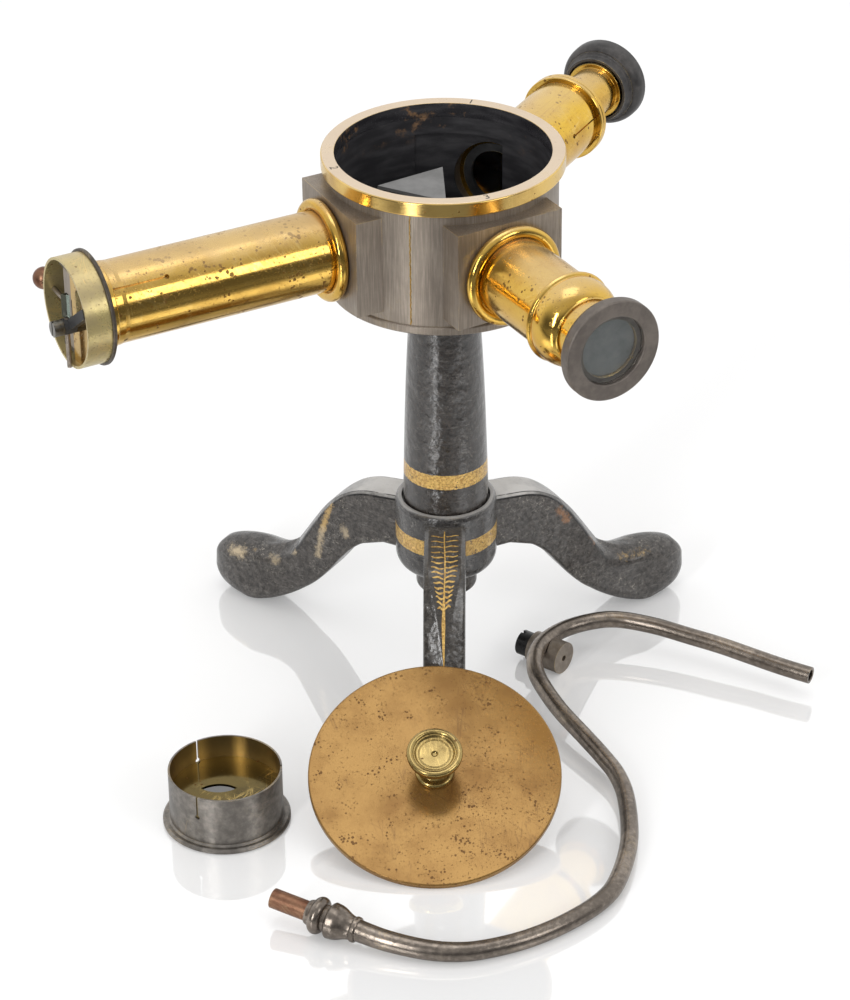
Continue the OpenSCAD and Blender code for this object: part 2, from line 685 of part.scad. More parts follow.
// Bracket, clamp screw and rod that hold the small prism in front of the slit.
// The bracket stands on the fixed jaw and reaches the pot's wall
module comparison_bracket() color([0.16, 0.14, 0.13]) on_arm(slit_az, slit_offset) difference() {
    union() {
        intersection() {
            translate([0, 0, jaw_front]) cylinder(r = pot_bore_r - seat, h = comp_rod_at - jaw_front);
            translate([-comp_up, comp_side, jaw_front - 1]) rotate([0, 0, 90 + comp_bar_slope])
                translate([0, -comp_bar_w / 2, 0]) cube([pot_d, comp_bar_w, pot_h]);
        }
        translate([-comp_up, comp_side, jaw_front])
            cylinder(d = comp_boss_d, h = comp_boss_front - jaw_front);
    }
    translate([-comp_up - comp_boss_d, comp_side, comp_rod_at]) rotate([0, 90, 0])
        cylinder(d = comp_rod_d + 2 * run, h = 2 * comp_boss_d, $fn = 48);
    translate([-comp_up, comp_side, comp_rod_at]) cylinder(d = comp_stud_d + 2 * run, h = pot_h, $fn = 48);
}
module comparison_screw() color([0.62, 0.62, 0.58]) on_arm(slit_az, slit_offset)
    translate([-comp_up, comp_side, 0]) {
    tip = comp_rod_at + comp_rod_d / 2 + 2 * run;
    head = comp_boss_front + 0.1;
    translate([0, 0, tip]) cylinder(d = comp_stud_d, h = head + 1 - tip, $fn = 48);
    translate([0, 0, head]) difference() {
        cylinder(d = comp_boss_d - 0.2, h = comp_head_len);
        translate([-comp_boss_d, -0.5, comp_head_len - 1]) cube([2 * comp_boss_d, 1, 2]);
    }
}

comp_prism_low = comp_up + 4;
module comparison_rod() color([0.42, 0.42, 0.40]) on_arm(slit_az, slit_offset)
    translate([-comp_prism_low, comp_side, comp_rod_at]) rotate([0, 90, 0])
        cylinder(d = comp_rod_d, h = pot_r + 0.6 + comp_prism_low, $fn = 48);
module comparison_prism() color([0.66, 0.74, 0.74, 0.7]) on_arm(slit_az, slit_offset)
    translate([-comp_prism_low - comp_prism_h, comp_side, comp_rod_at]) rotate([0, 90, 0])
        linear_extrude(comp_prism_h) {
            half = comp_prism_w / 2;
            polygon([[-half, -half], [half, -half], [half, half]]);
        }

// Scale tube's bezel and draw tube

scale_draw_r = tube_bore_r - scale_step;
bezel_end = scale_tube_end + bezel_len;

module scale_bezel() color([0.80, 0.62, 0.24]) on_arm(scale_az) {
    bead = tube_r + bezel_lip;
    bore = scale_draw_r + run;
    base = scale_tube_end;
    turned(concat(
        [[bore, base - 8], [tube_bore_r - seat, base - 8], [tube_bore_r - seat, base], [tube_r + 0.2, base],
         [bead - 0.7, base + 0.3], [bead, base + 1.3], [bead - 0.4, base + 2.4], [bead - 1.1, base + 3]],
        curve([[bead - 1.1, base + 3.4], [bead - 0.2, base + 9], [bead - 3, bezel_end - 2.2],
            [bore + 0.9, bezel_end - 0.6]], 10),
        [[bore + 0.6, bezel_end], [bore, bezel_end]]
    ));
}

scale_ring_front = bezel_end + scale_out;
scale_ring_back = scale_ring_front - scale_ring_t;
scale_ledge = scale_ring_front - 3.8;
scale_glass_r = scale_draw_r + glass_lap;

module scale_draw_tube() color([0.80, 0.60, 0.30]) on_arm(scale_az) {
    r = scale_draw_r;
    turned([
        [r - 1.25, scale_tube_end - 6], [r, scale_tube_end - 6], [r, scale_ledge - 0.3],
            [r - 1.25, scale_ledge - 0.3]
    ]);
}

module scale_ring() color([0.32, 0.30, 0.28]) on_arm(scale_az) {
    bore = scale_draw_r + seat;
    glass = scale_glass_r + seat;
    r = scale_glass_r + scale_ring_w;
    turned([
        [bore, scale_ring_back], [r - 3.4, scale_ring_back], [r - 1, scale_ring_back + 1],
            [r, scale_ring_back + 3],
        [r, scale_ring_front - edge], [r - edge, scale_ring_front], [glass, scale_ring_front],
            [glass, scale_ledge],
        [bore, scale_ledge]
    ]);
}
module scale_glass() color([0.55, 0.58, 0.60, 0.5]) on_arm(scale_az)
    translate([0, 0, scale_ledge]) cylinder(r = scale_glass_r, h = 1.8);
module scale_slide() color([0.35, 0.36, 0.38, 0.8]) on_arm(scale_az)
    translate([0, 0, scale_ledge - 3.2]) cylinder(r = scale_draw_r - 1.25 - seat, h = 1.4);

// Telescope's flange, draw tube and eyepiece

module telescope_flange() color([0.76, 0.60, 0.28]) on_arm(view_az) {
    bore = view_draw_d / 2 + run;
    wide = tube_r + view_flange_lip;
    front = view_tube_end + 4;
    turned([
        [bore, view_tube_end - view_flange_in], [tube_bore_r - seat, view_tube_end - view_flange_in],
        [tube_bore_r - seat, view_tube_end],
        [tube_r + seat, view_tube_end], [tube_r + seat, view_tube_end - 1.5],
            [wide - 0.4, view_tube_end - 1.5],
        [wide, view_tube_end - 1], [wide, front - 0.8], [wide - 0.8, front], [bore, front]
    ]);
}

eyecup_front = view_tube_end + eyecup_out;
eyecup_back = eyecup_front - eyecup_len;
eye_wall = 1.1;
lip_front = eyecup_back + 1.2;
module eyepiece_tube() color([0.82, 0.66, 0.32]) on_arm(view_az) {
    r = view_draw_d / 2;
    turned([
        [r - eye_wall, view_tube_end - eye_tube_in], [r, view_tube_end - eye_tube_in], [r, lip_front - 2],
        [r + 1.9, lip_front - 2],
        [r + 1.9, lip_front], [r, lip_front], [r, eyecup_back + 5], [r - eye_wall, eyecup_back + 5]
    ]);
}
module eyecup() color([0.22, 0.21, 0.21]) on_arm(view_az) {
    tube = view_draw_d / 2 + seat;
    recess = tube + 2.8;
    r = eyecup_d / 2;
    turned(concat(
        [[recess, eyecup_back], [recess + 1.4, eyecup_back]],
        curve([[recess + 1.4, eyecup_back], [recess + 1.8, eyecup_back + 6], [r - 0.6, eyecup_back + 6],
               [r, eyecup_front - 3.4]], 8),
        [[r, eyecup_front - 0.8], [r - 0.8, eyecup_front], [r - 2, eyecup_front]],
        curve([[r - 2, eyecup_front], [r - 5, eyecup_front - 3.5], [7, eyecup_front - 5],
            [4, eyecup_front - 5]], 6),
        [[4, eyecup_front - 7], [6.3, eyecup_front - 7], [6.3, eyecup_back + 5], [tube, eyecup_back + 5],
         [tube, eyecup_back + 3.2], [recess, eyecup_back + 3.2]]
    ));
}
module eye_lens() color([0.75, 0.85, 0.85, 0.4]) on_arm(view_az) lens(6.2, eyecup_front - 10.4, 3.4, 0.9);
module field_lens() color([0.75, 0.85, 0.85, 0.4]) on_arm(view_az)
    lens(view_draw_d / 2 - eye_wall - seat, view_tube_end + 2, 4, 1);

// Lid, leaning on the front toe

lid_r = ring_r + lid_clear + lid_wall;
lid_z = lid_r * sin(lid_tilt) + lid_edge_h * cos(lid_tilt);
// The lid's front edge is on the table, and its underside meets the highest point of the toe that it leans on
toe_side = [for (p = leg_side()) if (p[0] > valley_r + 6) p];
toe_peak = max([for (p = toe_side) p[0] * sin(lid_tilt) + p[1] * cos(lid_tilt)]);
lid_y = (lid_z * cos(lid_tilt) - lid_t - lid_lean_gap - toe_peak) / sin(lid_tilt);
module on_lid() { at_stand() translate([lid_x, lid_y, lid_z]) rotate([lid_tilt, 0, 0]) children(); }

module lid_plate() color([0.74, 0.55, 0.27]) on_lid() {
    inner = ring_r + lid_clear;
    turned([
        [0, 0], [lid_r - 0.5, 0], [lid_r, -0.5], [lid_r, -lid_edge_h], [inner, -lid_edge_h],
            [inner, -lid_t], [0, -lid_t]
    ]);
}

module lid_knob() color([0.70, 0.52, 0.26]) on_lid() {
    r = lid_knob_d / 2;
    h = lid_knob_h;
    turned(concat(
        [[0, 0], [7.4, 0]],
        arc([7.2, 1.5], 1.5, -60, 120, 6),
        curve([[5.6, 3], [4.2, 5], [4.2, 8], [5.2, h - 8]], 6),
        curve([[5.2, h - 8], [7, h - 5.6], [r - 0.6, h - 6], [r, h - 3]], 6),
        arc([r - 1.4, h - 1.6], 1.6, 0, 160, 6),
        curve([[r - 3, h - 1], [r - 6, h - 2.4], [3, h - 2.8], [0, h - 2.8]], 6)
    ));
}

// Cap that slides over the slit pot, standing on its flange

cap_bore_r = pot_r + cap_clear;
cap_r = cap_bore_r + cap_wall;
cap_flange_r = cap_r + cap_flange_w;
cap_x = lid_x - lid_r - cap_gap - cap_flange_r;
cap_plate_z = cap_h - cap_plate_depth;
cap_plate_t = 1.2;
module at_cap() { at_stand() translate([cap_x, cap_y, 0]) children(); }

module cap_shell() color([0.30, 0.27, 0.24]) at_cap() difference() {
    turned([
        [cap_bore_r, 0], [cap_flange_r - 0.9, 0], [cap_flange_r, 0.9], [cap_flange_r, cap_flange_t - 0.9],
        [cap_flange_r - 0.9, cap_flange_t], [cap_r + 0.8, cap_flange_t], [cap_r, cap_flange_t + 0.8],
        [cap_r, cap_h], [cap_bore_r, cap_h]
    ]);
    for (k = [0:2]) rotate([0, 0, cap_cut_az - 120 * k]) {
        translate([cap_bore_r - 3, -saw_w / 2, cap_h - cap_cut_len]) cube([8, saw_w, cap_cut_len + 1]);
        translate([cap_bore_r - 3, 0, cap_h - cap_cut_len]) rotate([0, 90, 0])
            cylinder(r = hole_r, h = 8, $fn = 24);
    }
}

module cap_plate() color([0.72, 0.52, 0.20]) at_cap() difference() {
    lens_len = 16;
    lens_wide = 6.4;
    bow_r = (lens_len * lens_len / 4 + lens_wide * lens_wide / 4) / lens_wide;
    translate([0, 0, cap_plate_z - cap_plate_t]) cylinder(r = cap_bore_r - seat, h = cap_plate_t);
    translate([-3, 0, cap_plate_z - cap_plate_t - 1]) linear_extrude(cap_plate_t + 2) intersection() {
        translate([0, bow_r - lens_wide / 2]) circle(r = bow_r);
        translate([0, lens_wide / 2 - bow_r]) circle(r = bow_r);
    }
}

// Gas pipe: a rigid tube bent by hand, from its open end to its fitting, measured from the pillar

pipe_points = [
    [169, -39, 11], [156, -32, 11.5], [143, -24, 12], [129, -16, 13], [114, -8, 13.5], [98, -0.5, 14.5],
    [81, 4.5, 15], [68, 3.5, 14.5], [55.5, -2, 14], [46, -11.5, 13.8], [41.5, -22, 13.8], [41, -36, 13],
    [45, -50, 12], [52, -66, 10.5], [61.5, -83, 9], [69.5, -97.5, 7.5], [75.5, -111.5, 6.5],
        [78.5, -129, 5.5],
    [78, -158, 4.5], [71.5, -185.5, 4.4], [63, -200.5, 4.4], [48, -214.5, 4.4], [31.5, -225, 4.4],
    [15, -231.5, 4.5], [2, -233.8, 4.7], [-12, -232.5, 5.2], [-28, -227.6, 6.2], [-40, -222, 7.4]
];
pipe_steps = 3;
pipe_sides = 12;
pipe_last = len(pipe_points) - 1;
function pipe_at(i) = pipe_points[max(0, min(pipe_last, i))];
function pipe_between(i, t) =
    let(a = pipe_at(i - 1), b = pipe_at(i), c = pipe_at(i + 1), d = pipe_at(i + 2))
    0.5 * (2 * b + (c - a) * t + (2 * a - 5 * b + 4 * c - d) * t * t + (3 * b - a - 3 * c + d) * t * t * t);
pipe_path = [for (i = [0:pipe_last - 1], k = [0:pipe_steps - 1]) pipe_between(i, k / pipe_steps)];
pipe_line = concat(pipe_path, [pipe_at(pipe_last)]);
pipe_rings = len(pipe_line);
function unit(v) = v / norm(v);
function pipe_dir(i) = unit(pipe_line[min(i + 1, pipe_rings - 1)] - pipe_line[max(i - 1, 0)]);
function pipe_radius(i) =
    let(t = max(0, (i / (pipe_rings - 1) - 0.75) / 0.25)) (pipe_d + (pipe_thick_d - pipe_d) * t * t) / 2;
function pipe_ring(i) =
    let(t = pipe_dir(i), side = unit(cross([0, 0, 1], t)), up = cross(t, side), r = pipe_radius(i))
    [for (k = [0:pipe_sides - 1]) let(a = 360 * k / pipe_sides)
        pipe_line[i] + r * (cos(a) * side + sin(a) * up)];

module gas_pipe() color([0.34, 0.29, 0.25]) at_stand() {
    points = [for (i = [0:pipe_rings - 1]) each pipe_ring(i)];
    walls = [for (i = [0:pipe_rings - 2], k = [0:pipe_sides - 1])
        let(a = i * pipe_sides + k, b = i * pipe_sides + (k + 1) % pipe_sides)
        [a, b, b + pipe_sides, a + pipe_sides]];
    first = [for (k = [pipe_sides - 1:-1:0]) k];
    last = [for (k = [0:pipe_sides - 1]) (pipe_rings - 1) * pipe_sides + k];
    toward_mouth = -pipe_dir(0);
    difference() {
        polyhedron(points, concat([last, first], walls));
        translate(pipe_line[0]) rotate([0, acos(toward_mouth[2]), atan2(toward_mouth[1], toward_mouth[0])])
            translate([0, 0, -12]) cylinder(d = pipe_d - 2.6, h = 14, $fn = 48);
    }
}

// The fitting and the hose nozzle follow the pipe's last direction; local Z runs away from the pipe
fitting_len = 24;
module on_fitting() {
    dir = pipe_dir(pipe_rings - 1);
    level = sqrt(dir[0] * dir[0] + dir[1] * dir[1]);
    at_stand() translate(pipe_line[pipe_rings - 1])
        rotate([0, atan2(level, dir[2]), atan2(dir[1], dir[0])]) children();
}
module pipe_fitting() color([0.36, 0.33, 0.27]) on_fitting() {
    r = fitting_d / 2;
    pipe = pipe_thick_d / 2;
    turned(concat(
        [[0, 0], [pipe + 0.5, 0], [pipe + 0.9, 0.6], [pipe + 0.9, 2], [pipe + 0.4, 2.6]],
        curve([[pipe + 0.4, 2.6], [pipe + 0.8, 6], [r - 1.2, 7], [r - 0.6, 10]], 6),
        arc([r - 2.2, 12], 2, 20, 90, 4),
        [[r - 2.4, fitting_len - 8.4]],
        arc([r - 3, fitting_len - 5.2], 3, -80, 80, 8),
        [[pipe + 0.8, fitting_len - 1], [pipe + 0.4, fitting_len], [0, fitting_len]]
    ));
}
module hose_nozzle() color([0.45, 0.29, 0.22]) on_fitting() translate([0, 0, fitting_len]) difference() {
    cylinder(d = nozzle_d, h = nozzle_len);
    translate([0, 0, 1]) cylinder(d = nozzle_d - 2.4, h = nozzle_len, $fn = 48);
}

// Clamp barrel brazed to the pipe's bend, with its black screw; local Z runs to the barrel's drilled face
barrel_az = -37;
barrel_at = [54.9, -17.3];
module on_barrel() {
    at_stand() translate([barrel_at[0], barrel_at[1], barrel_d / 2]) rotate([0, 0, barrel_az])
        rotate([0, 90, 0]) children();
}
clamp_stem_d = 3.4;
clamp_stem_len = 6;
// The pipe's bend over the barrel follows an arc through three points of its line, seen from above
bend = [pipe_line[24], pipe_line[27], pipe_line[30]];
function arc_middle(a, b, c) =
    let(p = b - a, q = c - a, u = 2 * (p[0] * q[1] - p[1] * q[0]))
    let(pp = p[0] * p[0] + p[1] * p[1], qq = q[0] * q[0] + q[1] * q[1])
    [a[0] + (q[1] * pp - p[1] * qq) / u, a[1] + (p[0] * qq - q[0] * pp) / u];
bed_gap = 0.17;
module pipe_bed() {
    middle = arc_middle(bend[0], bend[1], bend[2]);
    bend_r = norm([bend[1][0] - middle[0], bend[1][1] - middle[1]]);
    translate([middle[0], middle[1], bend[1][2]]) rotate_extrude()
        translate([bend_r, 0]) circle(r = pipe_d / 2 + bed_gap);
}
module clamp_barrel() color([0.30, 0.27, 0.24]) difference() {
    on_barrel() difference() {
        translate([0, 0, -barrel_len]) cylinder(d = barrel_d, h = barrel_len);
        translate([0, 0, -6]) cylinder(d = 3, h = 8, $fn = 48);
        translate([0, 0, -barrel_len - 1])
            cylinder(d = clamp_stem_d + 2 * run, h = clamp_stem_len + 1.5, $fn = 48);
    }
    at_stand() pipe_bed();
}
module clamp_screw() color([0.07, 0.07, 0.07]) on_barrel() difference() {
    union() {
        translate([0, 0, -barrel_len - 7]) cylinder(d = clamp_head_d, h = 6.4);
        translate([0, 0, -barrel_len - 1]) cylinder(d = clamp_stem_d, h = clamp_stem_len + 1, $fn = 48);
    }
    translate([-clamp_head_d, -0.9, -barrel_len - 8]) cube([2 * clamp_head_d, 1.8, 3]);
}

tripod_foot();
pillar();
pillar_nut();
drum_base();
drum_bolt();
drum_wall();
top_ring();
collimator_block();
scale_block();
telescope_block();
collimator_collar();
scale_collar();
telescope_collar();
collimator_tube();
scale_tube();
telescope_tube();
collimator_cell();
collimator_lens();
scale_cell();
scale_lens();
objective_cell();
objective_lens();
prism_table();
prism();
prism_plate();
slit_draw_tube();
slit_flange();
slit_pot();
slit_floor();
fixed_jaw();
moving_jaw();
slit_screw();
slit_knob();
comparison_bracket();
comparison_screw();
comparison_rod();
comparison_prism();
scale_bezel();
scale_draw_tube();
scale_ring();
scale_glass();
scale_slide();
telescope_flange();
eyepiece_tube();
eyecup();
eye_lens();
field_lens();
lid_plate();
lid_knob();
cap_shell();
cap_plate();
gas_pipe();
pipe_fitting();
hose_nozzle();
clamp_barrel();
clamp_screw();
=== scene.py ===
"""Looks of a table spectroscope with its lid, slit cap and gas pipe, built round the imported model.

Lengths are in millimetres until a mesh is made, and metres from there on.
"""
import logging
import math
from dataclasses import dataclass, field
from enum import Enum
from typing import Callable, Optional, Sequence, Union

import bpy
import numpy as np
from mathutils import Matrix, Vector


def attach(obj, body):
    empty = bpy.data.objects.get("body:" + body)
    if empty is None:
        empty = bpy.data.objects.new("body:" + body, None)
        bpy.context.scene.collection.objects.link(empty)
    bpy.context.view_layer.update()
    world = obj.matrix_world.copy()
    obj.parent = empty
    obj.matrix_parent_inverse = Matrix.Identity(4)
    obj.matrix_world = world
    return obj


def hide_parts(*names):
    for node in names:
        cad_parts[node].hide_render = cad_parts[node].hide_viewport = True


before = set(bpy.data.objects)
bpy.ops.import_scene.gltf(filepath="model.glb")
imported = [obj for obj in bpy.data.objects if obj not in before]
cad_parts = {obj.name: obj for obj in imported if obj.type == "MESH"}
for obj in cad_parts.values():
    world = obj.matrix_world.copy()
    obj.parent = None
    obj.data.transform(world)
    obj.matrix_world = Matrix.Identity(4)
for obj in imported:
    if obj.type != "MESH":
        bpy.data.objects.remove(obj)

LOG = logging.getLogger("spectroscope")
MM = 0.001
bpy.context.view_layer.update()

Array = np.ndarray
Pair = tuple[float, float]
Triple = tuple[float, float, float]
Colour = Triple
Outline = Sequence[Pair]

# Where things stand on the bench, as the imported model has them
STAND = (3.7, 39.3)
HUB_SEAT = 87.0
BOSS_Z = 196.0
BASE_Z = 200.0
FLOOR_Z = 204.0
AXIS_Z = 229.0
RIM_Z = 258.2
SLIT_ARM = (207.4, -2.5)
SCALE_ARM = (-60.0, 0.0)
VIEW_ARM = (62.0, 0.0)

# Limits that tell one case of an outline from another
ON_AXIS = 1e-6
SAME_SPOT = 1e-5
SHARP_FOLD = 38.0

# Scales that several finishes use: a plan view, and the even grain of a casting
FLAT = (1.0, 1.0, 0.0)
CAST = (260.0, 260.0, 260.0)


def unit(vector: Array) -> Array:
    """Vectors scaled to length one along their last axis."""
    return vector / np.linalg.norm(vector, axis=-1, keepdims=True)


def spline(points: Sequence[Sequence[float]], steps: int) -> Array:
    """A smooth curve through points, as one array.

    Each stretch is the cubic 0.5 (2b + (c - a) t + (2a - 5b + 4c - d) t^2 + (3b - a - 3c + d) t^3)
    of the four points a, b, c, d round it.

    Args:
        points: the points that the curve passes through.
        steps: how many parts each stretch gets.

    Returns:
        The curve's points, with the last point once.
    """
    p = np.asarray(points, float)
    padded = np.concatenate([p[:1], p, p[-1:]])
    a, b, c, d = (padded[k:len(p) - 1 + k, None] for k in range(4))
    t = np.linspace(0, 1, steps, endpoint=False)[None, :, None]
    curve = 0.5 * (2 * b + (c - a) * t + (2 * a - 5 * b + 4 * c - d) * t**2 + (3 * b - a - 3 * c + d) * t**3)
    return np.concatenate([curve.reshape(-1, p.shape[1]), p[-1:]])


def bow(handles: Outline, parts: int = 12) -> list[Pair]:
    """Points on the cubic curve u^3 A + 3 u^2 t B + 3 u t^2 C + t^3 D, with u = 1 - t.

    Args:
        handles: the curve's start A, its two handles B and C, and its end D.
        parts: how many parts the curve gets.

    Returns:
        The curve's points, with both ends.
    """
    h = np.asarray(handles, float)
    t = np.linspace(0, 1, parts + 1)[:, None]
    u = 1 - t
    curve = u**3 * h[0] + 3 * u**2 * t * h[1] + 3 * u * t**2 * h[2] + t**3 * h[3]
    return [tuple(p) for p in curve]


def arc(centre: Pair, radius: float, start: float, end: float, parts: int = 10) -> list[Pair]:
    """Points on an arc: centre + radius (cos a, sin a), with a from start to end in degrees."""
    a = np.radians(np.linspace(start, end, parts + 1))
    return list(zip(centre[0] + radius * np.cos(a), centre[1] + radius * np.sin(a)))


@dataclass(frozen=True)
class Place:
    """Where a piece's own axes stand on the bench, in millimetres."""

    origin: Triple
    x: Triple = (1.0, 0.0, 0.0)
    y: Triple = (0.0, 1.0, 0.0)
    z: Triple = (0.0, 0.0, 1.0)

    def world(self, points: Array) -> Array:
        """Points from the piece's axes to metres on the bench."""
        return (np.asarray(self.origin) + points @ np.array([self.x, self.y, self.z])) * MM

    @classmethod
    def upright(cls, x: float, y: float, z: float = 0.0) -> "Place":
        """Axes parallel to the bench, placed from the pillar's foot."""
        return cls((STAND[0] + x, STAND[1] + y, z))

    @classmethod
    def arm(cls, azimuth: float, offset: float) -> "Place":
        """Axes of a tube on the drum: Z runs outward, X down and Y to the left.

        Args:
            azimuth: the tube's direction round the drum, in degrees.
            offset: how far the tube's axis passes from the drum's, to its left.

        Returns:
            The tube's place.
        """
        c, s = math.cos(math.radians(azimuth)), math.sin(math.radians(azimuth))
        origin = (STAND[0] - s * offset, STAND[1] + c * offset, AXIS_Z)
        return cls(origin, (0.0, 0.0, -1.0), (-s, c, 0.0), (c, s, 0.0))

    @classmethod
    def aimed(cls, origin: Sequence[float], direction: Sequence[float]) -> "Place":
        """Axes whose Z runs along a direction, with Y level.

        Args:
            origin: where the axes stand.
            direction: where Z looks.

        Returns:
            The place.
        """
        z = unit(np.asarray(direction, float))
        y = unit(np.cross(z, (0.0, 0.0, 1.0)))
        return cls(tuple(origin), tuple(np.cross(y, z)), tuple(y), tuple(z))


@dataclass
class Skin:
    """A surface as arrays: its points, faces, the faces' UV corners and its edge weights."""

    points: Array
    quads: Array
    quad_uv: Array
    tris: Array = field(default_factory=lambda: np.zeros((0, 3), int))
    tri_uv: Array = field(default_factory=lambda: np.zeros((0, 3, 2)))
    edge: Optional[Array] = None

    def mesh(self, name: str, place: Place) -> bpy.types.Mesh:
        """The surface as a mesh in metres, smooth, with sharp folds kept.

        Args:
            name: the mesh's name.
            place: where the surface's own axes stand.

        Returns:
            The new mesh, with its UV map and its edge attribute.
        """
        mesh = bpy.data.meshes.new(name)
        mesh.from_pydata(place.world(self.points).tolist(), [], self.quads.tolist() + self.tris.tolist())
        uv = np.concatenate([self.quad_uv.reshape(-1, 2), self.tri_uv.reshape(-1, 2)])
        mesh.uv_layers.new(name="UVMap").data.foreach_set("uv", uv.astype(np.float32).ravel())
        edge = np.zeros(len(self.points)) if self.edge is None else self.edge
        mesh.attributes.new("edge", "FLOAT", "POINT").data.foreach_set("value", edge.astype(np.float32))
        mesh.polygons.foreach_set("use_smooth", np.ones(len(mesh.polygons), bool))
        mesh.set_sharp_from_angle(angle=math.radians(SHARP_FOLD))
        mesh.update()
        return mesh


def grid_skin(points: Array, edge: Optional[Array] = None, closed_rows: bool = False,
              poles: tuple[bool, bool] = (False, False), length: Optional[Array] = None) -> Skin:
    """A skin over a grid of points whose columns close on themselves.

    The faces look to the side of (along the columns) x (along the rows).

    Args:
        points: rows x columns x 3, with the last column next to the first.
        edge: an edge weight for each point of the grid.
        closed_rows: whether the last row also joins the first.
        poles: whether the first and the last row are closed with a fan to their middle.
        length: the running length of each row, for the UV map.

    Returns:
        The closed surface.
    """
    rows, cols = points.shape[:2]
    ids = np.arange(rows * cols).reshape(rows, cols)
    lower = ids if closed_rows else ids[:-1]
    upper = np.roll(ids, -1, 0) if closed_rows else ids[1:]
    quads = np.stack([lower, np.roll(lower, -1, 1), np.roll(upper, -1, 1), upper], -1).reshape(-1, 4)
    run = np.arange(rows, dtype=float) if length is None else np.asarray(length, float)
    run = np.append(run, run[-1] + (run[-1] - run[-2])) if closed_rows else run
    count = len(lower)
    u = np.broadcast_to(np.arange(cols) / cols, (count, cols))
    v = np.broadcast_to(run[:count, None], (count, cols))
    w = np.broadcast_to(run[1:count + 1, None], (count, cols))
    step = 1.0 / cols
    quad_uv = np.stack([np.stack([u, v], -1), np.stack([u + step, v], -1),
                        np.stack([u + step, w], -1), np.stack([u, w], -1)], -2).reshape(-1, 4, 2)
    cloud = points.reshape(-1, 3)
    weights = np.zeros(rows * cols) if edge is None else edge.reshape(-1)
    tris, tri_uv = [], []
    for closed, row, flip in ((poles[0], 0, True), (poles[1], rows - 1, False)):
        if not closed:
            continue
        ring, turned = ids[row], np.roll(ids[row], -1)
        tip = np.full(cols, len(cloud))
        cloud = np.concatenate([cloud, points[row].mean(0, keepdims=True)])
        weights = np.append(weights, 0.0)
        order = (turned, ring, tip) if flip else (ring, turned, tip)
        tris.append(np.stack(order, -1))
        uv = np.zeros((cols, 3, 2))
        uv[..., 0] = (np.arange(cols) / cols)[:, None]
        uv[..., 1] = run[row]
        tri_uv.append(uv)
    if tris:
        return Skin(cloud, quads, quad_uv, np.concatenate(tris), np.concatenate(tri_uv), weights)
    return Skin(cloud, quads, quad_uv, edge=weights)


def softened(corners: Array, radius: Array, parts: int = 4) -> tuple[Array, Array]:
    """Closed outlines with rounded corners, any number of them at once.

    A corner P between A and B, which lie the radius away on its two sides, becomes the curve
    (1 - t)^2 A + 2 t (1 - t) P + t^2 B. Two more points keep the flats next to it flat.

    Args:
        corners: outlines x corners x 2, each with the solid on the left.
        radius: how far from each corner its rounding starts.
        parts: how many parts each rounding gets.

    Returns:
        The points, and their edge weights from 0 to 1.
    """
    p = corners
    back, ahead = np.roll(p, 1, 1) - p, np.roll(p, -1, 1) - p
    long_back = np.maximum(np.linalg.norm(back, axis=-1, keepdims=True), 1e-9)
    long_ahead = np.maximum(np.linalg.norm(ahead, axis=-1, keepdims=True), 1e-9)
    cut = np.minimum(radius[..., None], 0.3 * np.minimum(long_back, long_ahead))
    turn = -(back[..., 0] * ahead[..., 1] - back[..., 1] * ahead[..., 0]) / (long_back * long_ahead)[..., 0]
    outer = np.clip(turn, 0, 1) * (cut[..., 0] > 0)
    back, ahead = back / long_back * cut, ahead / long_ahead * cut
    t = np.linspace(0, 1, parts + 1)[:, None]
    near, tip, far = (p + back)[..., None, :], p[..., None, :], (p + ahead)[..., None, :]
    curve = (1 - t)**2 * near + 2 * t * (1 - t) * tip + t**2 * far
    points = np.concatenate([(p + 1.6 * back)[..., None, :], curve, (p + 1.6 * ahead)[..., None, :]], -2)
    hump = np.concatenate([[0], np.sin(np.pi * t[:, 0]), [0]])
    return points.reshape(len(p), -1, 2), (outer[..., None] * hump).reshape(len(p), -1)


def eased(outline: Outline, radius: float, parts: int = 4) -> tuple[Array, Array]:
    """One outline, from axis to axis or closed, turned to have its solid on the left and softened.

    Args:
        outline: its corners.
        radius: how far from a corner its rounding starts.
        parts: how many parts each rounding gets.

    Returns:
        The points, and their edge weights from 0 to 1.
    """
    p = np.asarray(outline, float)
    area = np.sum(p[:, 0] * np.roll(p[:, 1], -1) - np.roll(p[:, 0], -1) * p[:, 1])
    p = p if area > 0 else p[::-1]
    loop = not (p[0, 0] < ON_AXIS and p[-1, 0] < ON_AXIS)
    cut = np.full(len(p), radius)
    if not loop:
        cut[[0, -1]] = 0
    points, weights = (v[0] for v in softened(p[None], cut[None], parts))
    keep = np.append(True, np.linalg.norm(np.diff(points, axis=0), axis=1) > SAME_SPOT)
    if loop and np.linalg.norm(points[0] - points[-1]) < SAME_SPOT:
        keep[-1] = False
    return points[keep], weights[keep]


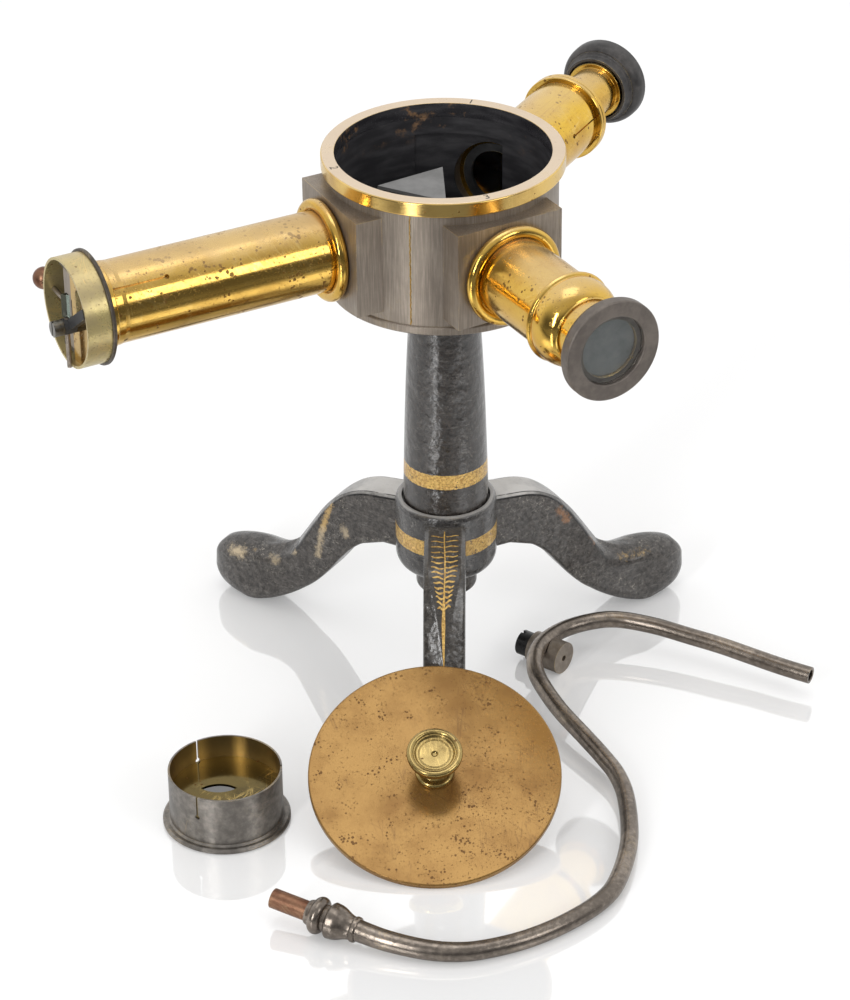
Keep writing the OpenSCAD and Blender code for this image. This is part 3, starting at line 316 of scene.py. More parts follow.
def lathe(outline: Outline, soft: float = 0.35, turns: int = 144,
          shape: Optional[Callable[[Array, Array, Array], Array]] = None) -> Skin:
    """A turned surface: each outline point (r, s) goes round as (r cos a, r sin a, s).

    Args:
        outline: corners as radius and height, from axis to axis or as a closed loop.
        soft: how far from a corner its rounding starts.
        turns: how many columns the surface has.
        shape: changes the radius, given the radius, the height and the angle of every point.

    Returns:
        The closed surface.
    """
    profile, weights = eased(outline, soft)
    loop = not (profile[0, 0] < ON_AXIS and profile[-1, 0] < ON_AXIS)
    length = np.concatenate([[0], np.cumsum(np.linalg.norm(np.diff(profile, axis=0), axis=1))]) * 0.1
    if not loop:
        profile, weights, length = profile[1:-1], weights[1:-1], length[1:-1]
    r, s = (np.repeat(profile[:, k:k + 1], turns, 1) for k in (0, 1))
    angle = np.broadcast_to(np.linspace(0, 2 * np.pi, turns, endpoint=False), r.shape)
    r = r if shape is None else shape(r, s, angle)
    points = np.stack([r * np.cos(angle), r * np.sin(angle), s], -1)
    return grid_skin(points, np.repeat(weights[:, None], turns, 1), loop, (not loop, not loop), length)


class Op(Enum):
    """Operations of the Math and Vector Math nodes."""

    ADD = "ADD"
    SUBTRACT = "SUBTRACT"
    MULTIPLY = "MULTIPLY"
    DIVIDE = "DIVIDE"
    MAXIMUM = "MAXIMUM"
    ABSOLUTE = "ABSOLUTE"
    LESS_THAN = "LESS_THAN"
    GREATER_THAN = "GREATER_THAN"
    DOT = "DOT_PRODUCT"
    LENGTH = "LENGTH"


class Coords(Enum):
    """The coordinates that a pattern follows."""

    OBJECT = "Object"
    UV = "UV"
    SKY = "Generated"


class Wire:
    """A node's output. Sums, products and comparisons of wires are further Math nodes."""

    def __init__(self, nodes: "Nodes", socket: bpy.types.NodeSocket) -> None:
        """Keeps the tree that the socket is in."""
        self.nodes = nodes
        self.socket = socket

    def __add__(self, other: "Value") -> "Wire":
        """The sum."""
        return self.nodes.maths(Op.ADD, self, other)

    def __sub__(self, other: "Value") -> "Wire":
        """The difference."""
        return self.nodes.maths(Op.SUBTRACT, self, other)

    def __rsub__(self, other: float) -> "Wire":
        """A number less this."""
        return self.nodes.maths(Op.SUBTRACT, other, self)

    def __mul__(self, other: "Value") -> "Wire":
        """The product."""
        return self.nodes.maths(Op.MULTIPLY, self, other)

    def __lt__(self, other: "Value") -> "Wire":
        """One where this is less, and zero elsewhere."""
        return self.nodes.maths(Op.LESS_THAN, self, other)

    def __gt__(self, other: "Value") -> "Wire":
        """One where this is more, and zero elsewhere."""
        return self.nodes.maths(Op.GREATER_THAN, self, other)

    def top(self, other: "Value") -> "Wire":
        """The larger of the two."""
        return self.nodes.maths(Op.MAXIMUM, self, other)


Value = Union[Wire, float]
Wires = dict[str, Wire]
Inputs = dict[str, object]


class Nodes:
    """A short way to write a node tree."""

    def __init__(self, tree: bpy.types.NodeTree) -> None:
        """Starts on an empty tree."""
        self.tree = tree
        tree.nodes.clear()

    def feed(self, socket: bpy.types.NodeSocket, value: object) -> None:
        """Links a wire to an input, or sets the input.

        Args:
            socket: the input.
            value: a wire, a number, a vector or a colour, which gets its alpha here.
        """
        if isinstance(value, Wire):
            self.tree.links.new(value.socket, socket)
        elif isinstance(value, tuple) and socket.type == "RGBA":
            socket.default_value = (*value, 1.0)
        else:
            socket.default_value = value

    def add(self, kind: str, inputs: Optional[dict] = None, **settings: object) -> bpy.types.Node:
        """A new node, with its settings, and its inputs linked or set.

        Args:
            kind: the node's type without its ShaderNode prefix, or its whole type.
            inputs: socket names or numbers, each with a value or a wire.
            settings: properties of the node.

        Returns:
            The node.
        """
        node = self.tree.nodes.new(kind if kind.startswith("Node") else "ShaderNode" + kind)
        for key, value in settings.items():
            setattr(node, key, value)
        for key, value in (inputs or {}).items():
            self.feed(node.inputs[key], value)
        return node

    def wire(self, kind: str, inputs: Optional[dict] = None, out: Union[int, str] = 0,
             **settings: object) -> Wire:
        """One output of a new node."""
        return Wire(self, self.add(kind, inputs, **settings).outputs[out])

    def maths(self, op: Op, *values: Value, clamp: bool = False) -> Wire:
        """The result of a Math node."""
        return self.wire("Math", dict(enumerate(values)), operation=op.value, use_clamp=clamp)

    def vector(self, op: Op, *values: object, out: str = "Vector") -> Wire:
        """The result of a Vector Math node."""
        return self.wire("VectorMath", dict(enumerate(values)), out, operation=op.value)

    def axis(self, vector: Wire, name: str = "Z") -> Wire:
        """One component of a vector."""
        return self.wire("SeparateXYZ", {0: vector}, name)

    def mix(self, factor: Value, first: object, second: object) -> Wire:
        """A colour between two, by a factor."""
        return self.wire("Mix", {0: factor, 6: first, 7: second}, 2, data_type="RGBA")

    def remap(self, value: Value, low: Value, high: Value, to_low: float = 0.0, to_high: float = 1.0,
              even: bool = False) -> Wire:
        """A value carried from one range to another, smoothly or evenly."""
        inputs = {"Value": value, "From Min": low, "From Max": high, "To Min": to_low, "To Max": to_high}
        return self.wire("MapRange", inputs, "Result", interpolation_type="LINEAR" if even else "SMOOTHSTEP")

    def noise(self, where: Wire, scale: float, detail: float = 4.0, rough: float = 0.55) -> Wire:
        """The height of a noise, whose scale counts its lumps in a metre."""
        return self.wire("TexNoise", {"Vector": where, "Scale": scale, "Detail": detail, "Roughness": rough})

    def place(self, scale: Triple = (1.0, 1.0, 1.0), turn: Triple = (0.0, 0.0, 0.0),
              shift: Triple = (0.0, 0.0, 0.0), source: Coords = Coords.OBJECT) -> Wire:
        """Texture coordinates, turned and moved, and scaled after that.

        Args:
            scale: how much each axis is scaled.
            turn: the angles about the three axes, in degrees.
            shift: how far they are moved.
            source: which coordinates they are.

        Returns:
            The coordinates.
        """
        coords = self.wire("TexCoord", out=source.value)
        turned = tuple(math.radians(v) for v in turn)
        moved = self.wire("Mapping", {"Vector": coords, "Location": shift, "Rotation": turned})
        return self.vector(Op.MULTIPLY, moved, scale)

    def bump(self, height: Wire, strength: float, distance: float) -> Wire:
        """The normal of a surface with this height."""
        return self.wire("Bump", {"Height": height, "Strength": strength, "Distance": distance})


def group(name: str, inputs: dict[str, object], outputs: Sequence[str],
          fill: Callable[[Nodes, Wires], Wires]) -> bpy.types.NodeTree:
    """A shader node group, built once.

    Args:
        name: the group's name.
        inputs: each input's default, a number or a vector.
        outputs: the names of the outputs, which are all numbers.
        fill: builds the inside from the inputs' wires and returns the outputs' wires.

    Returns:
        The group's tree.
    """
    if name in bpy.data.node_groups:
        return bpy.data.node_groups[name]
    tree = bpy.data.node_groups.new(name, "ShaderNodeTree")
    for key, default in inputs.items():
        kind = "NodeSocketVector" if isinstance(default, tuple) else "NodeSocketFloat"
        tree.interface.new_socket(key, in_out="INPUT", socket_type=kind).default_value = default
    for key in outputs:
        tree.interface.new_socket(key, in_out="OUTPUT", socket_type="NodeSocketFloat")
    nodes = Nodes(tree)
    start = nodes.add("NodeGroupInput")
    made = fill(nodes, {key: Wire(nodes, start.outputs[key]) for key in inputs})
    nodes.add("NodeGroupOutput", made)
    return tree


def use(n: Nodes, tree: bpy.types.NodeTree, **values: object) -> Wires:
    """A group placed in a material, with its inputs linked or set by name; returns its outputs."""
    node = n.add("Group", values, node_tree=tree)
    return {socket.name: Wire(n, socket) for socket in node.outputs}


def wear_group() -> bpy.types.NodeTree:
    """Bare metal along edges: the edge attribute and the folds that a small bevel finds, made ragged.

    Returns:
        The group.
    """
    def fill(n: Nodes, given: Wires) -> Wires:
        """Builds the group's inside.

        Args:
            n: the group's nodes.
            given: the group's inputs.

        Returns:
            What each output gets.
        """
        edge = n.wire("Attribute", out="Fac", attribute_name="edge")
        bevel = n.wire("Bevel", {"Radius": 0.0006}, samples=6)
        flat = n.wire("NewGeometry", out="Normal")
        fold = n.remap(1.0 - n.vector(Op.DOT, bevel, flat, out="Value"), 0.004, 0.09)
        both = edge.top(fold)
        ragged = n.noise(n.place(), 420.0, 5.0, 0.7)
        broad = n.remap(n.noise(n.place(), 60.0, 2.0), 0.3, 0.65, 0.35, 1.0)
        limit = 1.0 - given["Amount"]
        mask = n.remap(both * broad + (ragged - 0.5) * 0.9, limit, limit + 0.25, even=True)
        return {"Mask": mask * n.remap(both, 0.05, 0.3)}
    return group("EdgeWear", {"Amount": 0.5}, ["Mask"], fill)


def turning_group() -> bpy.types.NodeTree:
    """Fine rings that a lathe and a cloth leave: noise along the UV map's length, nearly even round it.

    Returns:
        The group.
    """
    def fill(n: Nodes, given: Wires) -> Wires:
        """Builds the group's inside.

        Args:
            n: the group's nodes.
            given: the group's inputs.

        Returns:
            What each output gets.
        """
        fine = n.noise(n.place((0.6, 34.0, 1.0), source=Coords.UV), 5.0, 5.0, 0.7)
        broad = n.noise(n.place((0.8, 5.0, 1.0), source=Coords.UV), 3.0, 3.0)
        return {"Height": fine * 0.7 + broad * 0.3}
    return group("TurningRings", {}, ["Height"], fill)


def spots_group() -> bpy.types.NodeTree:
    """Tarnish: clouds that darken the lacquer, and small dark spots and pits of uneven size.

    Returns:
        The group.
    """
    def fill(n: Nodes, given: Wires) -> Wires:
        """Builds the group's inside.

        Args:
            n: the group's nodes.
            given: the group's inputs.

        Returns:
            What each output gets.
        """
        where = n.place()
        clouds = n.remap(n.noise(where, 38.0, 6.0, 0.62), 0.38, 0.72)
        cells = {"Vector": where, "Scale": given["Scale"], "Randomness": 1.0}
        size = n.remap(n.noise(where, 140.0, 4.0, 0.6), 0.46, 0.70, 0.0, 0.40)
        dots = n.wire("TexVoronoi", cells, "Distance") < size * given["Spots"]
        grit = n.remap(n.noise(where, 900.0, 3.0, 0.7), 0.58, 0.70)
        dense = n.remap(n.noise(where, 26.0, 2.0), 0.40, 0.62, 0.3, 1.0)
        small = grit * dense * given["Spots"]
        return {"Clouds": clouds, "Spots": n.maths(Op.MAXIMUM, dots, small, clamp=True)}
    return group("Tarnish", {"Spots": 1.0, "Scale": 420.0}, ["Clouds", "Spots"], fill)


def dust_and_sheen_group() -> bpy.types.NodeTree:
    """Dust and a painted sheen of overhead light: a pale haze on faces that look up, thicker in patches.

    Returns:
        The group.
    """
    def fill(n: Nodes, given: Wires) -> Wires:
        """Builds the group's inside.

        Args:
            n: the group's nodes.
            given: the group's inputs.

        Returns:
            What each output gets.
        """
        up = n.axis(n.wire("NewGeometry", out="Normal"))
        patch = (n.noise(n.place(), 55.0, 6.0, 0.65) - 0.5) * 0.45
        return {"Mask": n.remap(up + patch, given["Start"], 1.0) * given["Amount"]}
    return group("DustAndSheen", {"Start": 0.65, "Amount": 0.7}, ["Mask"], fill)


def mark_group() -> bpy.types.NodeTree:
    """A worn mark round a short line: the distance |p - a - t (b - a)| to it, made ragged by noise.

    Returns:
        The group.
    """
    def fill(n: Nodes, given: Wires) -> Wires:
        """Builds the group's inside.

        Args:
            n: the group's nodes.
            given: the group's inputs.

        Returns:
            What each output gets.
        """
        where = n.place()
        start, wide = given["From"], given["Width"]
        line = n.vector(Op.SUBTRACT, given["To"], start)
        offset = n.vector(Op.SUBTRACT, where, start)
        squared = n.vector(Op.DOT, line, line, out="Value").top(1e-9)
        share = n.maths(Op.DIVIDE, n.vector(Op.DOT, offset, line, out="Value"), squared, clamp=True)
        near = n.wire("VectorMath", {0: line, "Scale": share}, "Vector", operation="SCALE")
        away = n.vector(Op.LENGTH, n.vector(Op.SUBTRACT, offset, near), out="Value")
        ragged = away + (n.noise(where, 480.0, 8.0, 0.85) - 0.5) * (wide * 4.6)
        return {"Mask": n.remap(ragged, wide, wide * 0.2, even=True)}
    return group("WornMark", {"From": (0.0, 0.0, 0.0), "To": (0.0, 0.0, 0.0), "Width": 0.003}, ["Mask"], fill)


def scratch_group() -> bpy.types.NodeTree:
    """Hairline scratches: three stretched noises at angles to each other, cut to thin lines.

    Returns:
        The group.
    """
    def fill(n: Nodes, given: Wires) -> Wires:
        """Builds the group's inside.

        Args:
            n: the group's nodes.
            given: the group's inputs.

        Returns:
            What each output gets.
        """
        lines = None
        for turn in ((20.0, 35.0, 10.0), (75.0, -20.0, 60.0), (10.0, 15.0, 125.0)):
            long = n.noise(n.place((520.0, 14.0, 24.0), turn), 1.0, 3.0, 0.45)
            thin = n.remap(n.maths(Op.ABSOLUTE, long - 0.5), 0.0, 0.016, 1.0, 0.0)
            lines = thin if lines is None else lines.top(thin)
        where = n.remap(n.noise(n.place(), 45.0, 4.0, 0.6), 0.48, 0.62)
        return {"Mask": lines * where * given["Amount"]}
    return group("Scratches", {"Amount": 0.5}, ["Mask"], fill)


def band_group() -> bpy.types.NodeTree:
    """A gilt band between two heights on the bench, with ragged edges and chips.

    Returns:
        The group.
    """
    def fill(n: Nodes, given: Wires) -> Wires:
        """Builds the group's inside.

        Args:
            n: the group's nodes.
            given: the group's inputs.

        Returns:
            What each output gets.
        """
        high = n.axis(n.place()) + (n.noise(n.place(), 700.0, 4.0, 0.7) - 0.5) * 0.0011
        chip = n.remap(n.noise(n.place(), 520.0, 6.0, 0.75), 0.36, 0.40)
        return {"Mask": (high > given["Low"]) * (high < given["High"]) * chip}
    return group("GiltBand", {"Low": 0.0, "High": 0.0}, ["Mask"], fill)


class Slot(Enum):
    """The record's material slots."""

    BRASS = "lacquered_brass"
    OLIVE = "olive_brass"
    AMBER = "amber_brass"
    LID = "lid_brass"
    BRONZE = "bronzed_brass"
    PIPE = "copper_pipe"
    COPPER = "copper_nozzle"
    IRON = "cast_iron"
    BLACK = "black_brass"
    BLACK_STEEL = "black_steel"
    STEEL = "bright_steel"
    PLATE = "grey_plate"
    GLASS = "glass"
    PRISM = "prism_glass"


@dataclass(frozen=True)
class Finish:
    """What every finish has: a name, the record's slot and a way to make its material."""

    name: str
    slot: Slot

    def paint(self, n: Nodes) -> Inputs:
        """The shader's inputs: plain values, or wires that change over the surface.

        Args:
            n: the material's nodes.

        Returns:
            The shader's inputs.
        """
        raise NotImplementedError

    def material(self) -> bpy.types.Material:
        """The finish's material, made at its first use.

        Returns:
            The material.
        """
        name = f"{self.name}_finish"
        if name in bpy.data.materials:
            return bpy.data.materials[name]
        made = bpy.data.materials.new(name)
        made.use_nodes = True
        n = Nodes(made.node_tree)
        n.add("OutputMaterial", {"Surface": n.wire("BsdfPrincipled", self.paint(n))})
        return made


@dataclass(frozen=True)
class Brass(Finish):
    """Polished and lacquered brass: clouds of tarnish, dark spots, hairlines, rings and a haze on top, which
    is dust and a painted sheen of overhead light.

    A tube also has stains and lines along its length, when its direction round the drum is given.
    """

    bright: Colour = (0.76, 0.485, 0.105)
    deep: Colour = (0.60, 0.32, 0.05)
    dirt: Colour = (0.16, 0.075, 0.025)
    # haze: the pale colour of dust and of a painted sheen on faces that look up
    haze: Colour = (0.76, 0.57, 0.32)
    scored: Colour = (0.92, 0.66, 0.24)
    rough: float = 0.19
    spots: float = 0.9
    rings: float = 0.25
    clouds: float = 0.75
    metal: float = 1.0
    dust_and_sheen: float = 0.45
    fine: float = 420.0
    along: Optional[float] = None

    def paint(self, n: Nodes) -> Inputs:
        """Metal whose colour sinks in the clouds, turns to dirt in the spots and pales where it faces up,
        with dust and a painted sheen.

        Args:
            n: the material's nodes.

        Returns:
            The shader's inputs.
        """
        tarnish = use(n, spots_group(), Spots=self.spots, Scale=self.fine)
        spots = tarnish["Spots"]
        cloud = tarnish["Clouds"] * self.clouds
        colour = n.mix(spots * 0.8, n.mix(cloud, self.bright, self.deep), self.dirt)
        colour = n.mix(use(n, scratch_group(), Amount=0.8)["Mask"] * 0.6, colour, self.scored)
        if self.along is not None:
            turn = (0.0, 0.0, -self.along)
            lines = n.noise(n.place((14.0, 620.0, 620.0), turn), 1.0, 5.0, 0.7)
            stain = n.noise(n.place((40.0, 150.0, 150.0), turn), 1.0, 5.0, 0.65)
            dull = n.remap(lines, 0.56, 0.70).top(n.remap(stain, 0.55, 0.74))
            colour = n.mix(dull * 0.55, colour, self.deep)
        rings = use(n, turning_group())["Height"]
        rough = cloud * 0.14 + spots * 0.3 + rings * self.rough
        metal: Value = self.metal
        if self.dust_and_sheen > 0:
            # Dust and a painted sheen of overhead light pale the faces that look up.
            dust_and_sheen = use(n, dust_and_sheen_group(), Start=0.60, Amount=self.dust_and_sheen)["Mask"]
            colour = n.mix(dust_and_sheen, colour, self.haze)
            metal = self.metal - dust_and_sheen * 0.6
            rough = rough + dust_and_sheen * 0.22
        height = rings * self.rings - spots * 0.5
        return {"Base Color": colour, "Metallic": metal, "Roughness": rough,
                "Normal": n.bump(height, 0.12, 0.0004)}


@dataclass(frozen=True)
class Bronze(Finish):
    """Dark bronzed brass, brushed, with bare metal along its edges and in some scratches."""

    body: Colour = (0.255, 0.215, 0.178)
    pale: Colour = (0.420, 0.362, 0.300)
    bare: Colour = (0.55, 0.42, 0.24)
    rough: float = 0.42
    bare_rough: float = 0.28
    wear: float = 0.28
    metal: float = 0.75
    grain: Triple = (1500.0, 1500.0, 60.0)

    def paint(self, n: Nodes) -> Inputs:
        """Brushed colour, lighter in streaks, with worn edges.

        Args:
            n: the material's nodes.

        Returns:
            The shader's inputs.
        """
        streak = n.noise(n.place(self.grain), 1.0, 5.0, 0.65)
        patch = n.noise(n.place(), 45.0, 5.0)
        body = n.mix(n.remap(streak * 0.6 + patch * 0.4, 0.38, 0.68), self.body, self.pale)
        scratch = use(n, scratch_group(), Amount=0.5)["Mask"] * 0.5
        bare = use(n, wear_group(), Amount=self.wear)["Mask"].top(scratch)
        return {"Base Color": n.mix(bare, body, self.bare), "Metallic": bare.top(self.metal),
                "Roughness": n.remap(bare, 0.0, 1.0, self.rough, self.bare_rough),
                "Normal": n.bump(streak, 0.15, 0.0003)}


@dataclass(frozen=True)
class BlackInside(Finish):
    """Matt black paint inside the drum over another finish outside, rubbed to rust near the rim."""

    outside: Finish = field(default_factory=lambda: Bronze("", Slot.BRONZE))
    radius: float = 49.5
    paint_colour: Colour = (0.024, 0.023, 0.026)
    scuffed: Colour = (0.062, 0.060, 0.064)
    rust: Colour = (0.22, 0.13, 0.07)

    def paint(self, n: Nodes) -> Inputs:
        """The outer finish beyond a radius from the drum's axis, and paint within it.

        Args:
            n: the material's nodes.

        Returns:
            The shader's inputs.
        """
        inputs = self.outside.paint(n)
        where = n.place(shift=(-STAND[0] * MM, -STAND[1] * MM, 0.0))
        away = n.vector(Op.LENGTH, n.vector(Op.MULTIPLY, where, FLAT), out="Value")
        inside = away < self.radius * MM
        near_rim = n.remap(n.axis(where), (RIM_Z - 14) * MM, (RIM_Z - 1) * MM)
        rub = n.remap(n.noise(where, 55.0, 6.0, 0.7), 0.56, 0.64) * near_rim
        scuff = n.remap(n.noise(n.place((60.0, 60.0, 260.0)), 1.0, 5.0), 0.35, 0.75)
        black = n.mix(scuff, self.paint_colour, self.scuffed)
        inputs["Base Color"] = n.mix(inside, inputs["Base Color"], n.mix(rub, black, self.rust))
        inputs["Metallic"] = inputs["Metallic"] * (1.0 - inside)
        inputs["Roughness"] = inputs["Roughness"] + inside * 0.12
        return inputs


@dataclass(frozen=True)
class TwoSided(Finish):
    """The slit cap: dark bronze outside and golden brass in its bore, told apart by the faces' direction."""

    outside: Bronze = field(default_factory=lambda: Bronze(
        "", Slot.BRONZE, body=(0.15, 0.137, 0.123), pale=(0.30, 0.275, 0.245), rough=0.34, grain=CAST))
    inside: Colour = (0.76, 0.57, 0.28)
    inside_deep: Colour = (0.50, 0.35, 0.16)
    inside_rim: Colour = (0.36, 0.28, 0.15)
    axis: tuple[float, float] = (-101.7, -130.0)

    def paint(self, n: Nodes) -> Inputs:
        """Bronze where faces look away from the cap's axis, and brass where they look towards it.

        Args:
            n: the material's nodes.

        Returns:
            The shader's inputs.
        """
        inputs = self.outside.paint(n)
        spot = (-(STAND[0] + self.axis[0]) * MM, -(STAND[1] + self.axis[1]) * MM, 0.0)
        where = n.vector(Op.MULTIPLY, n.place(shift=spot), FLAT)
        inward = n.vector(Op.DOT, where, n.wire("NewGeometry", out="Normal"), out="Value") < -0.004
        clouds = n.remap(n.noise(n.place(), 60.0, 5.0), 0.35, 0.7)
        high = n.remap(n.axis(n.place()), 0.013, 0.026)
        gold = n.mix(high, n.mix(clouds, self.inside, self.inside_deep), self.inside_rim)
        inputs["Base Color"] = n.mix(inward, inputs["Base Color"], gold)
        inputs["Metallic"] = inputs["Metallic"].top(inward)
        return inputs


@dataclass(frozen=True)
class Mark:
    """A worn mark between two spots, in millimetres from the pillar's foot, and its half width."""

    start: Triple
    end: Triple
    wide: float
    colour: Colour
    amount: float = 0.9

    def cover(self, n: Nodes, colour: Wire) -> Wire:
        """The colour with the mark on it.

        Args:
            n: the material's nodes.
            colour: the colour under the mark.

        Returns:
            The new colour.
        """
        start, end = (tuple((np.array(spot) + (*STAND, 0.0)) * MM) for spot in (self.start, self.end))
        mask = use(n, mark_group(), From=start, To=end, Width=self.wide * MM)["Mask"]
        return n.mix(mask * self.amount, colour, self.colour)


CREAM = (0.62, 0.50, 0.33)
OLD_GOLD = (0.66, 0.44, 0.17)
RUST = (0.34, 0.17, 0.08)
LEG_MARKS = (
    Mark((-105, 52.5, 27), (-99, 49.5, 27), 3.8, CREAM),
    Mark((-101.6, 50.5, 32), (-88.8, 42.7, 32), 2.5, OLD_GOLD),
    Mark((-88.8, 42.7, 32), (-72.6, 32.8, 37), 2.0, CREAM, 0.8),
    Mark((-54.7, 21.8, 70), (-58.9, 24.4, 54.7), 2.1, OLD_GOLD, 0.8),
    Mark((-58.9, 24.4, 54.7), (-61.5, 26, 39.4), 2.2, CREAM, 0.7),
    Mark((-48.7, 18.1, 59), (-47.5, 17.5, 56), 2.4, CREAM, 0.65),
    Mark((-85, 40.5, 31), (-82, 38.5, 29), 3.0, CREAM, 0.55),
    Mark((86, 35.5, 32.4), (97.5, 41.5, 32), 3.4, OLD_GOLD, 0.8),
    Mark((54, 17.9, 67.7), (57.5, 19.8, 61.4), 2.6, RUST, 0.8),
    Mark((70.7, 27, 47.7), (72, 28, 45), 2.6, RUST, 0.7),
)


@dataclass(frozen=True)
class Iron(Finish):
    """Black japanned cast iron: a sheen over a rough casting, dusty and with a painted sheen on top, with old
    gilt and worn marks.
    """

    body: Colour = (0.072, 0.067, 0.064)
    rubbed: Colour = (0.24, 0.225, 0.205)
    fleck: Colour = (0.42, 0.385, 0.33)
    edge: Colour = (0.012, 0.011, 0.011)
    gilt: Colour = (0.93, 0.60, 0.16)
    gilt_deep: Colour = (0.50, 0.26, 0.05)
    # haze: the pale colour of dust and of a painted sheen on faces that look up
    haze: Colour = (0.50, 0.48, 0.455)
    low: float = 0.0
    high: float = 0.0
    rub: float = 0.5
    dust_and_sheen: float = 0.8
    dust_and_sheen_above: float = 45.0
    flecks: float = 0.35
    dark_edge: bool = False
    marks: tuple[Mark, ...] = ()
    coat: float = 0.6
    coat_rough: float = 0.22
    ior: float = 1.5
    shine: float = 0.6

    def casting(self, n: Nodes, rubbed: Wire) -> Wire:
        """The paint's colour, mottled, rubbed thin and flecked.

        Args:
            n: the material's nodes.
            rubbed: one where the paint is rubbed thin.

        Returns:
            The colour.
        """
        where = n.place()
        patchy = n.remap(n.noise(where, 62.0, 5.0, 0.65), 0.47, 0.66)
        fleck = n.remap(n.noise(where, 800.0, 5.0, 0.8), 0.53, 0.66) * (patchy * self.flecks)
        mottle = n.remap(n.noise(where, 420.0, 9.0, 0.82), 0.36, 0.66)
        dark = tuple(v * 0.22 for v in self.body)
        return n.mix(fleck, n.mix(rubbed, n.mix(mottle, dark, self.body), self.rubbed), self.fleck)

    def paint(self, n: Nodes) -> Inputs:
        """Black paint with casting grain, rub marks, dust with a painted sheen, and a gilt band where it has
        one.

        Args:
            n: the material's nodes.

        Returns:
            The shader's inputs.
        """
        where = n.place()
        grain = n.noise(where, 170.0, 6.0, 0.6)
        chips = n.remap(n.noise(where, 200.0, 8.0, 0.8), 0.53, 0.70)
        scuff = n.remap(n.noise(n.place((130.0, 130.0, 420.0)), 1.0, 6.0, 0.7), 0.54, 0.72).top(chips)
        worn = use(n, wear_group(), Amount=0.5)["Mask"] * (0.15 if self.dark_edge else 0.9)
        rubbed = (scuff * self.rub).top(worn)
        # Dust and a painted sheen pale the faces that look up, above a given height.
        above = n.remap(n.axis(where), (self.dust_and_sheen_above - 12) * MM, (self.dust_and_sheen_above + 8) * MM)
        dust_and_sheen = use(n, dust_and_sheen_group(), Start=0.70, Amount=self.dust_and_sheen)["Mask"] * above
        colour = n.mix(dust_and_sheen, self.casting(n, rubbed), self.haze)
        if self.dark_edge:
            edge = n.remap(n.wire("Attribute", out="Fac", attribute_name="edge"), 0.05, 0.3)
            colour = n.mix(edge * n.remap(grain, 0.3, 0.5), colour, self.edge)
        for mark in self.marks:
            colour = mark.cover(n, colour)
        height = grain * 0.5 + n.noise(where, 150.0, 2.0) * 1.3
        metal: Value = 0.0
        if self.high > self.low:
            gold = use(n, band_group(), Low=self.low * MM, High=self.high * MM)["Mask"]
            tone = n.remap(n.noise(where, 900.0, 5.0, 0.75), 0.42, 0.62)
            colour = n.mix(gold, colour, n.mix(tone, self.gilt, self.gilt_deep))
            metal = gold * 0.2
            height = height + gold * tone * 0.5
        rough = n.remap(grain * 0.6 + rubbed.top(dust_and_sheen) * 0.6, 0.2, 0.9, 0.18, 0.55)
        return {"Base Color": colour, "Metallic": metal, "Roughness": rough,
                "Normal": n.bump(height, 0.5, 0.0014), "Specular IOR Level": self.shine, "IOR": self.ior,
                "Coat Weight": self.coat, "Coat Roughness": self.coat_rough}


@dataclass(frozen=True)
class Plain(Finish):
    """A dull paint, cement or blackened metal, with a fine uneven grain."""

    body: Colour = (0.02, 0.02, 0.02)
    pale: Colour = (0.06, 0.06, 0.06)
    bare: Colour = (0.5, 0.42, 0.25)
    metal: float = 0.0
    rough: float = 0.6
    wear: float = 0.0
    grain: float = 300.0

    def paint(self, n: Nodes) -> Inputs:
        """Colour that varies with a grain, and a matching roughness.

        Args:
            n: the material's nodes.

        Returns:
            The shader's inputs.
        """
        grain = n.noise(n.place(), self.grain, 6.0, 0.65)
        both = grain * 0.5 + n.noise(n.place(), self.grain * 0.18, 3.0) * 0.5
        colour = n.mix(n.remap(both, 0.36, 0.66), self.body, self.pale)
        metal: Value = self.metal
        if self.wear > 0:
            worn = use(n, wear_group(), Amount=self.wear)["Mask"]
            colour = n.mix(worn, colour, self.bare)
            metal = worn.top(self.metal)
        return {"Base Color": colour, "Metallic": metal, "Normal": n.bump(grain, 0.2, 0.0003),
                "Roughness": n.remap(both, 0.3, 0.7, self.rough - 0.07, self.rough + 0.09)}


@dataclass(frozen=True)
class Glass(Finish):
    """Clear glass with a plain tint and a few faint smears of dust in its roughness."""

    tint: Colour = (0.93, 0.97, 0.95)
    ior: float = 1.52
    haze: float = 0.02

    def paint(self, n: Nodes) -> Inputs:
        """Glass whose roughness follows faint smears.

        Args:
            n: the material's nodes.

        Returns:
            The shader's inputs.
        """
        smear = n.remap(n.noise(n.place((300.0, 80.0, 80.0)), 1.0, 5.0, 0.6), 0.45, 0.75)
        return {"Base Color": self.tint, "Transmission Weight": 1.0, "IOR": self.ior, "Metallic": 0.0,
                "Roughness": n.remap(smear, 0.0, 1.0, self.haze, self.haze + 0.12)}


BRASS = Brass("lacquered_brass", Slot.BRASS)
PALE_BRASS = Brass("pale_brass", Slot.BRASS, bright=(0.76, 0.48, 0.11), deep=(0.42, 0.23, 0.045),
                   rough=0.24, spots=1.2, dust_and_sheen=0.52, along=SLIT_ARM[0])
SCALE_BRASS = Brass("scale_brass", Slot.BRASS, along=SCALE_ARM[0])
VIEW_BRASS = Brass("view_brass", Slot.BRASS, bright=(0.88, 0.57, 0.08), along=VIEW_ARM[0])
